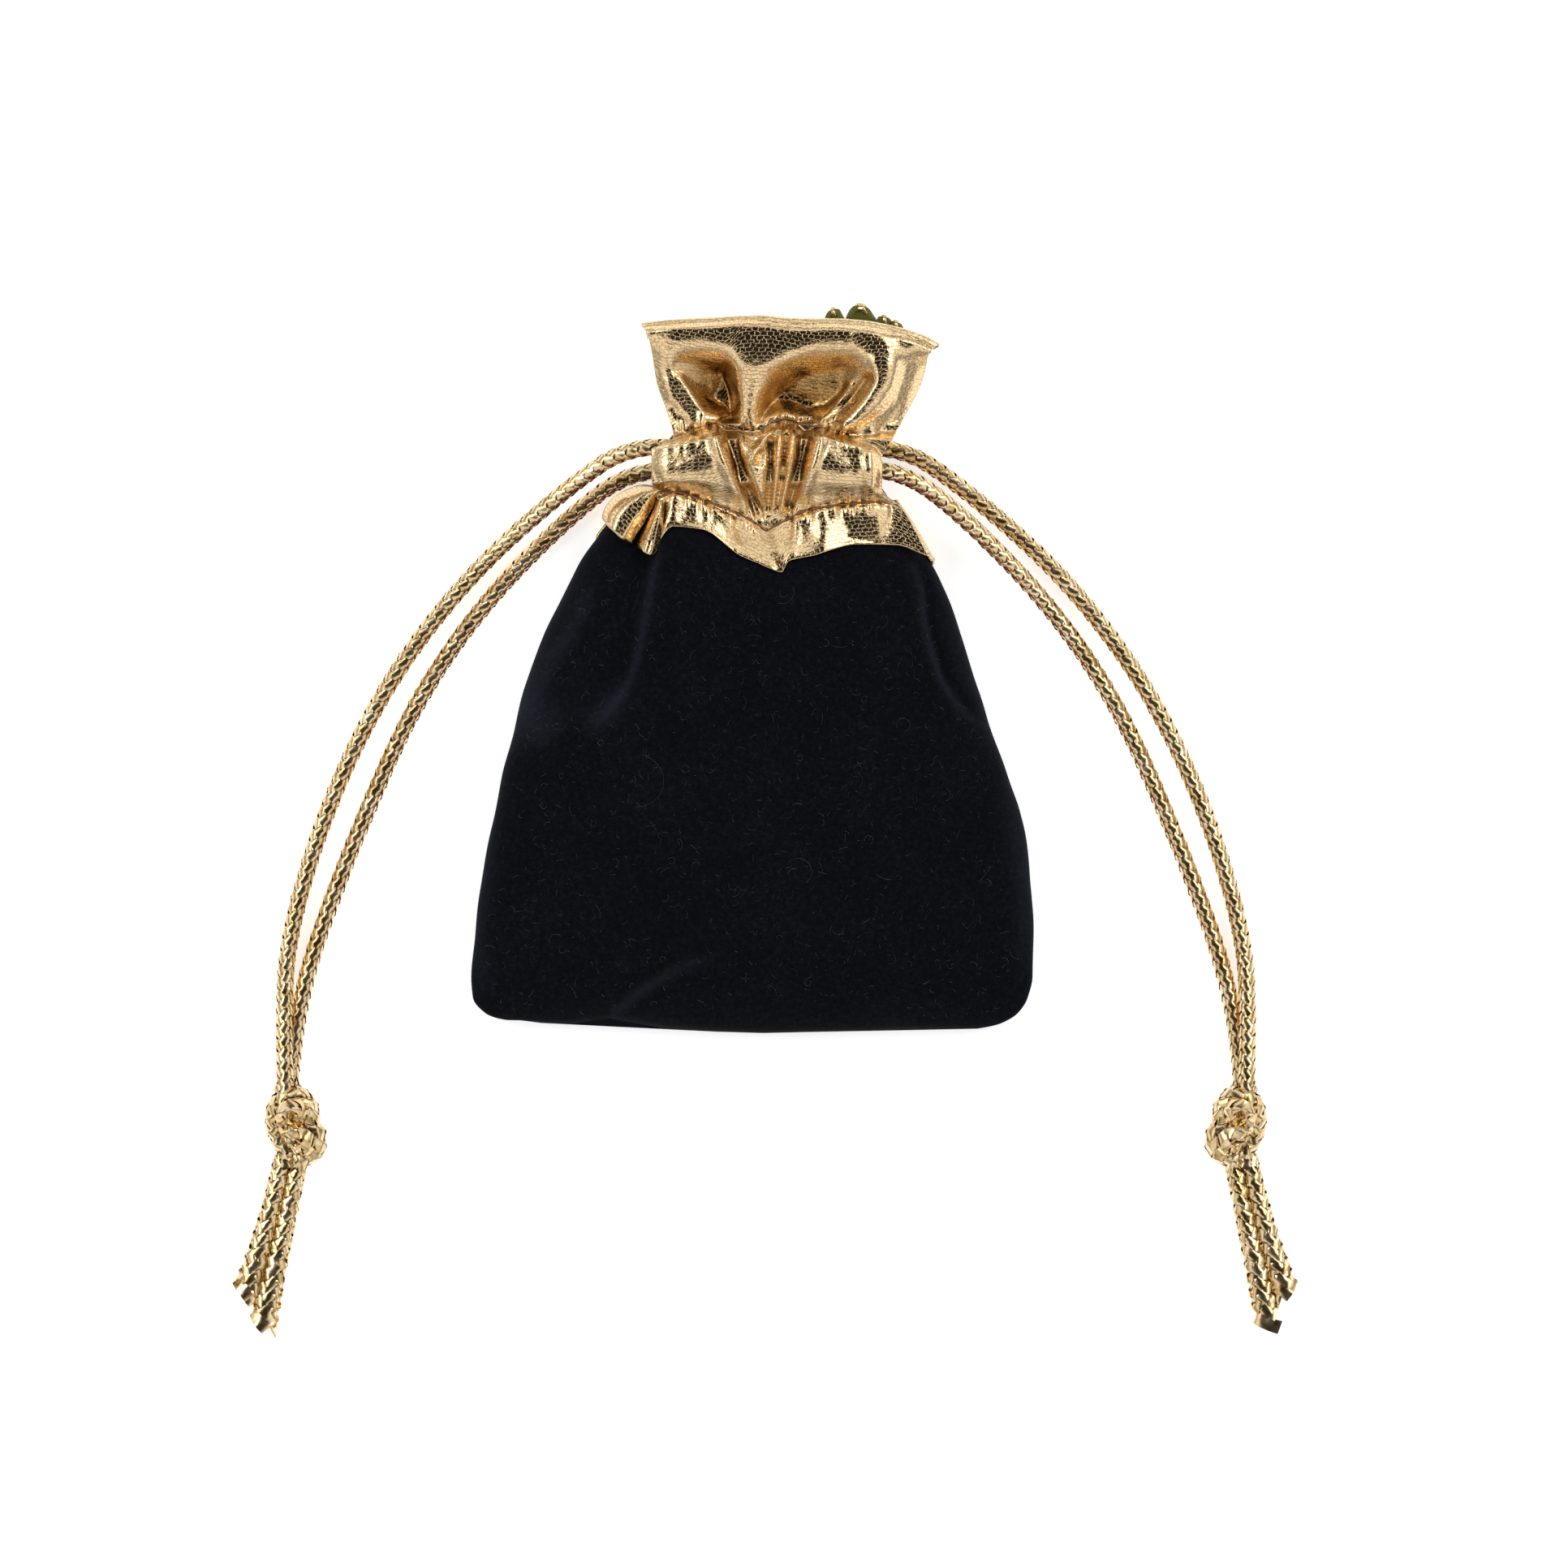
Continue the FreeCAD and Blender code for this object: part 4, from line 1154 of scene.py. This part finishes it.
def make_front_collar():
    points, depth = front_collar()
    lower = int(round(LOWER_AT * (ROWS - 1)))
    upper = int(round(UPPER_AT * (ROWS - 1)))
    channel = points[:, lower:upper + 1]
    # The turned edges add rows before the hem and after the ruffle, which get no painted fold shade
    hem_fold_shade = np.pad(depth[:, :lower + 1], ((0, 0), (4, 0)))
    ruffle_fold_shade = np.pad(depth[:, upper:], ((0, 0), (0, 8)))
    hem_piece = cloth_piece("front_hem_band", tucked_edge(points[:, :lower + 1]), "bag", ["front_hem"],
                            depth=hem_fold_shade)
    channel_piece = cloth_piece("front_channel_cloth", channel, "bag", ["front_channel"],
                                depth=depth[:, lower:upper + 1])
    ruffle_piece = cloth_piece("front_ruffle_cloth", roll_rim(points[:, upper:]), None, ["front_ruffle"],
                               depth=ruffle_fold_shade)
    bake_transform(ruffle_piece)
    # The channel's inner wall, which closes the cords' tunnel from below
    inner = channel[::3, ::4].copy()
    inner[:, :, 2] = 9.0 + 0.12 * np.sin(inner[:, :, 0] * 0.9)
    inner[:, [0, -1], 2] = channel[::3][:, [0, -1], 2] - 0.55
    wall = cloth_piece("front_channel_inner_wall", inner, "bag", [], materials=(OLIVE, OLIVE), thickness=0.3)
    # The upper stitches are buried in the gathers, except for a stretch right of the middle
    lower_thread = stitches("front_lower_stitches", points[:, lower], "front_lower_stitching",
                            lambda x: 0.06 + 0 * x)
    upper_thread = stitches("front_upper_stitches", points[:, upper], "front_upper_stitching",
                            lambda x: 0.06 - 0.26 * np.clip((np.abs(x - 6.0) - 3.5) / 1.0, 0, 1))


make_front_collar()


# The hem's two folded-over pleats at the left: outer edge, inner edge, and heights across each
PLEATS = [
    ([(-12.4, 25.2), (-14.8, 25.4), (-17.0, 24.7), (-18.9, 23.5), (-20.0, 21.9), (-20.3, 20.8)],
     [(-12.2, 24.4), (-12.9, 23.2), (-13.8, 21.4), (-14.7, 19.8), (-15.6, 18.4), (-16.4, 17.0)],
     (6.6, 8.6, 9.6, 10.0, 9.9, 9.4, 8.4)),
    ([(-12.9, 23.4), (-13.3, 22.2), (-13.9, 20.9), (-14.6, 19.4), (-15.2, 18.2), (-15.7, 16.9)],
     [(-11.8, 23.2), (-11.8, 22.2), (-11.9, 21.0), (-12.0, 19.6), (-12.2, 18.0), (-12.8, 15.4)],
     (8.4, 9.8, 10.7, 11.1, 11.0, 10.6, 10.0)),
]


def make_pleats():
    columns, rows = 60, 40
    t = np.linspace(0, 1, rows)
    share = np.linspace(0, 1, columns)
    verts, faces, layers = [], [], []
    for outer, inner, heights in PLEATS:
        knots = np.linspace(0, 1, len(outer))
        first = smooth_through(knots, outer, t)
        last = smooth_through(knots, inner, t)
        lift = smooth_through(np.linspace(0, 1, len(heights)), heights, share)
        # The cloth is raised along each lobe, and its edge bulges a little and curls under
        rise = 0.6 * np.sin(math.pi * np.clip(0.05 + t * 0.75, 0, 1)) ** 0.5
        curl = 0.5 * np.clip((t - 0.95) / 0.05, 0, 1) ** 2
        points = np.zeros((columns, rows, 3))
        for i in range(columns):
            arch = math.sin(math.pi * share[i])
            points[i, :, :2] = first * (1 - share[i]) + last * share[i]
            points[i, :, 1] -= 0.35 * arch * t**2
            points[i, :, 2] = lift[i] + rise - curl
            points[i, :, 2] += 0.10 * np.sin(share[i] * 17 + t * 2.5) * (0.4 + 0.6 * t) * arch
        layers.append(points)
    for k, points in enumerate(layers):
        flat = points.reshape(-1, 3)
        flat[:, 2] += ripple(flat, 1.8, 0.14, 8)
        faces += flipped(grid_faces(columns, rows, base=len(verts)))
        verts += list(flat)
        layers[k] = cloth_layers(points)
    joined = {key: np.concatenate([one[key] for one in layers]) for key in layers[0]}
    piece = make_object("left_hem_pleats", verts, faces, [GOLD, OLIVE], joined)
    thicken(piece, 0.4)
    attach(piece, "bag", "gold_foil_knit", "left_hem_pleat")


make_pleats()


def section_points(y, angle, grow):
    """A place on the pouch's outline at one height along it, grown outwards."""
    left, right, floor, crown = pouch_rows(y)
    c, s = math.cos(angle), math.sin(angle)
    x = (left + right) / 2 + ((right - left) / 2 + grow) * math.copysign(abs(c) ** (2 / PUFFINESS), c)
    peak = crown + grow if s >= 0 else floor - grow
    z = SEAM_Z + (peak - SEAM_Z) * abs(s) ** (2 / PUFFINESS)
    return np.stack([x, y, z], axis=-1)


BACK_HEM_EDGE_Y = 15.0
BACK_HEM_DEPTH = 8.4


def make_back_hem():
    """The hem runs on round both sides and across the back."""
    ys = np.linspace(BACK_HEM_EDGE_Y, POUCH[0, 0], 26)
    edge_share = 1 - (ys - BACK_HEM_EDGE_Y) / BACK_HEM_DEPTH
    angles = np.linspace(math.radians(182), math.radians(372), 150)
    points = np.zeros((len(angles), len(ys), 3))
    for i, angle in enumerate(angles):
        wave = 0.35 * math.sin(angle * 9.0) + 0.2 * math.sin(angle * 23.0)
        # On the left the hem folds back to the front, so its edge is higher there
        raised = ys + 4.0 * math.exp(-((angle - math.pi) / 0.5) ** 2) * edge_share
        points[i] = section_points(raised, angle, 0.55 + 0.10 * math.sin(angle * 14.0))
        points[i, :, 1] = raised + wave * edge_share
    flat = points.reshape(-1, 3)
    flat[:, 2] = np.maximum(flat[:, 2] + ripple(flat, 2.4, 0.10, 9), 0.10)
    piece = cloth_piece("back_hem_band", points, "bag", ["back_hem"], flip=True)


# The back channel's section, as (y, z), and where its left and right ends lie at some heights
BACK_LOOP = [(22.7, 1.9), (22.9, 0.9), (23.8, 0.34), (25.5, 0.24), (27.5, 0.22), (29.5, 0.24), (31.0, 0.34),
             (31.8, 0.9), (32.0, 1.9), (31.7, 2.9), (30.8, 3.42), (29.0, 3.52), (27.0, 3.52), (25.0, 3.50),
             (23.6, 3.40), (22.9, 2.8), (22.7, 1.9)]
BACK_LEFT = ([22.7, 25.0, 29.0, 31.0, 32.0], [-12.4, -12.9, -12.9, -11.8, -10.4])
BACK_RIGHT = ([22.7, 25.0, 29.0, 32.0], [19.2, 17.6, 17.0, 16.8])
# Above this height is the inner side of the back channel, towards the throat
BACK_MIDDLE_Z = 2.6


def make_back_channel():
    """The flattened tunnel behind, gold outside and olive towards the throat."""
    columns, rows = 150, 70
    y, z = smooth_through(np.linspace(0, 1, len(BACK_LOOP)), BACK_LOOP, np.linspace(0, 1, rows)).T
    left, right = np.interp(y, *BACK_LEFT), np.interp(y, *BACK_RIGHT)
    points = np.zeros((columns, rows, 3))
    for i, share in enumerate(np.linspace(0, 1, columns)):
        x = left + (right - left) * share
        gather = 0.5 + 0.5 * np.sin(x * 2.1 + 0.7 * np.sin(x * 0.8))
        lift = np.where(z > BACK_MIDDLE_Z, 0.28 * gather, -0.12 * gather)
        points[i] = np.stack([x, y, z + lift], axis=1)
    flat = points.reshape(-1, 3)
    flat[:, 2] = np.maximum(flat[:, 2], 0.06)
    faces = flipped(grid_faces(columns, rows))
    kinds = [int(flat[face[0], 2] > BACK_MIDDLE_Z) for face in faces]
    layers = cloth_layers(points)
    piece = make_object("back_channel_cloth", flat, faces, [GOLD, OLIVE], layers, face_material=kinds)
    attach(piece, "bag", "gold_foil_knit", "back_channel")
    for row, y in (("lower", 22.9), ("upper", 31.8)):
        line = np.stack([np.linspace(-9.6, 16.0, 120), np.full(120, y), np.full(120, 0.62)], axis=1)
        stitches("back_%s_stitches" % row, line, "back_%s_stitching" % row, lambda x: 0 * x)


# The back ruffle: x, y and z along the neck, the middle and the rim
BACK_NECK = [(-10.4, 32.0, 4.4), (-8.0, 32.0, 2.4), (-2.0, 32.0, 1.5), (3.0, 32.0, 1.3), (8.0, 32.0, 1.5),
             (12.0, 32.0, 1.6), (14.0, 32.0, 1.9), (15.6, 32.0, 2.4), (16.8, 31.6, 3.4), (17.6, 31.0, 5.2)]
BACK_MIDDLE = [(-12.3, 39.0, 5.6), (-9.6, 39.2, 3.0), (-3.0, 39.4, 1.4), (3.0, 39.6, 1.2), (8.4, 39.8, 1.5),
               (11.6, 39.8, 2.6), (14.6, 39.8, 1.6), (17.4, 39.6, 3.0), (19.8, 39.0, 3.2), (22.0, 38.4, 5.4)]
BACK_RIM = [(-14.0, 45.6, 6.6), (-11.4, 46.4, 4.2), (-4.0, 46.2, 2.0), (3.0, 46.2, 1.6), (8.0, 46.6, 2.2),
            (10.0, 47.0, 3.6), (14.0, 47.6, 2.4), (17.6, 47.0, 4.2), (20.6, 45.8, 4.6), (24.2, 43.6, 6.4)]
# Small folds of its rim that stand out beyond the front: x, width, reach, rise
RIM_FOLDS = [(11.1, 0.85, 1.5, 3.0), (12.8, 0.5, -0.4, -0.8), (14.7, 1.45, 1.7, 3.4), (16.9, 0.4, -0.4, -1.0),
             (17.9, 0.7, 0.8, 2.0), (19.5, 0.6, 0.7, 1.8)]


def make_back_ruffle():
    columns, rows = 260, 60
    at = np.linspace(0, 1, len(BACK_NECK))
    us, vs = np.linspace(0, 1, columns), np.linspace(0, 1, rows)
    lines = np.stack([smooth_through(at, level, us) for level in (BACK_NECK, BACK_MIDDLE, BACK_RIM)], axis=1)
    points = np.stack([smooth_through([0.0, 0.5, 1.0], lines[i], vs) for i in range(columns)])
    x = points[:, :, 0]
    rising = np.clip((vs - 0.35) / 0.65, 0, 1) ** 1.5
    for place, width, reach, rise in RIM_FOLDS:
        shape = np.exp(-np.abs((x - place) / width) ** 3) * rising
        points[:, :, 1] += reach * shape
        points[:, :, 2] += rise * shape
    points[:, :, 2] += 0.35 * np.sin(x * 1.5 + 1.0) * np.sin(math.pi * vs)
    flat = points.reshape(-1, 3)
    flat[:, 2] = np.maximum(flat[:, 2] + ripple(flat, 2.0, 0.15, 12), 0.50)
    piece = cloth_piece("back_ruffle_cloth", roll_rim(points, turn=0.3), "bag", ["back_ruffle"], flip=True)


make_back_hem()
make_back_channel()
make_back_ruffle()


# ---------------------------------------------------------------- floor and light

def make_floor():
    half = 1500.0
    corners = [(-half, -half), (half, -half), (half, half), (-half, half)]
    floor = make_object("floor", [(x, y, -0.02) for x, y in corners], [(0, 1, 2, 3)], [])
    material, _, _ = new_material(
        "floor", Base_Color=(0.9, 0.9, 0.9, 1), Roughness=0.9, Specular_IOR_Level=0.1,
        Emission_Color=(1, 1, 1, 1), Emission_Strength=0.60,
    )
    floor.data.materials.append(material)


def soft_light(name, azimuth, elevation, distance, size, power):
    data = bpy.data.lights.new(name, "AREA")
    data.shape = "RECTANGLE"
    data.size, data.size_y = size
    data.energy = power
    light = bpy.data.objects.new(name, data)
    a, e = math.radians(azimuth), math.radians(elevation)
    place = Vector((math.sin(a) * math.cos(e), math.cos(a) * math.cos(e), math.sin(e))) * distance
    light.location = place
    light.rotation_mode = "QUATERNION"
    light.rotation_quaternion = place.to_track_quat("Z", "Y")
    bpy.context.scene.collection.objects.link(light)


def make_studio():
    """A soft bright wall all round, dark right above, where the camera hangs."""
    world = bpy.data.worlds.new("studio")
    world.use_nodes = True
    tree = world.node_tree
    place = add_node(tree, "ShaderNodeTexCoord").outputs["Generated"]
    height = add_node(tree, "ShaderNodeSeparateXYZ", {"Vector": place}).outputs["Z"]
    levels = ((0.0, 0.22), (0.22, 0.34), (0.42, 0.80), (0.56, 1.0), (0.77, 1.0), (0.86, 0.03), (1.0, 0.015))
    colour = ramp(tree, height, [(place, grey(level)) for place, level in levels])
    background = tree.nodes["Background"]
    tree.links.new(colour, background.inputs["Color"])
    background.inputs["Strength"].default_value = 1.0
    bpy.context.scene.world = world
    soft_light("left_box", -70, 50, 1.2, (0.7, 0.5), 2.5)
    soft_light("right_box", 60, 50, 1.2, (0.7, 0.5), 2.5)


make_floor()
make_studio()
bpy.context.scene.view_settings.view_transform = "Standard"
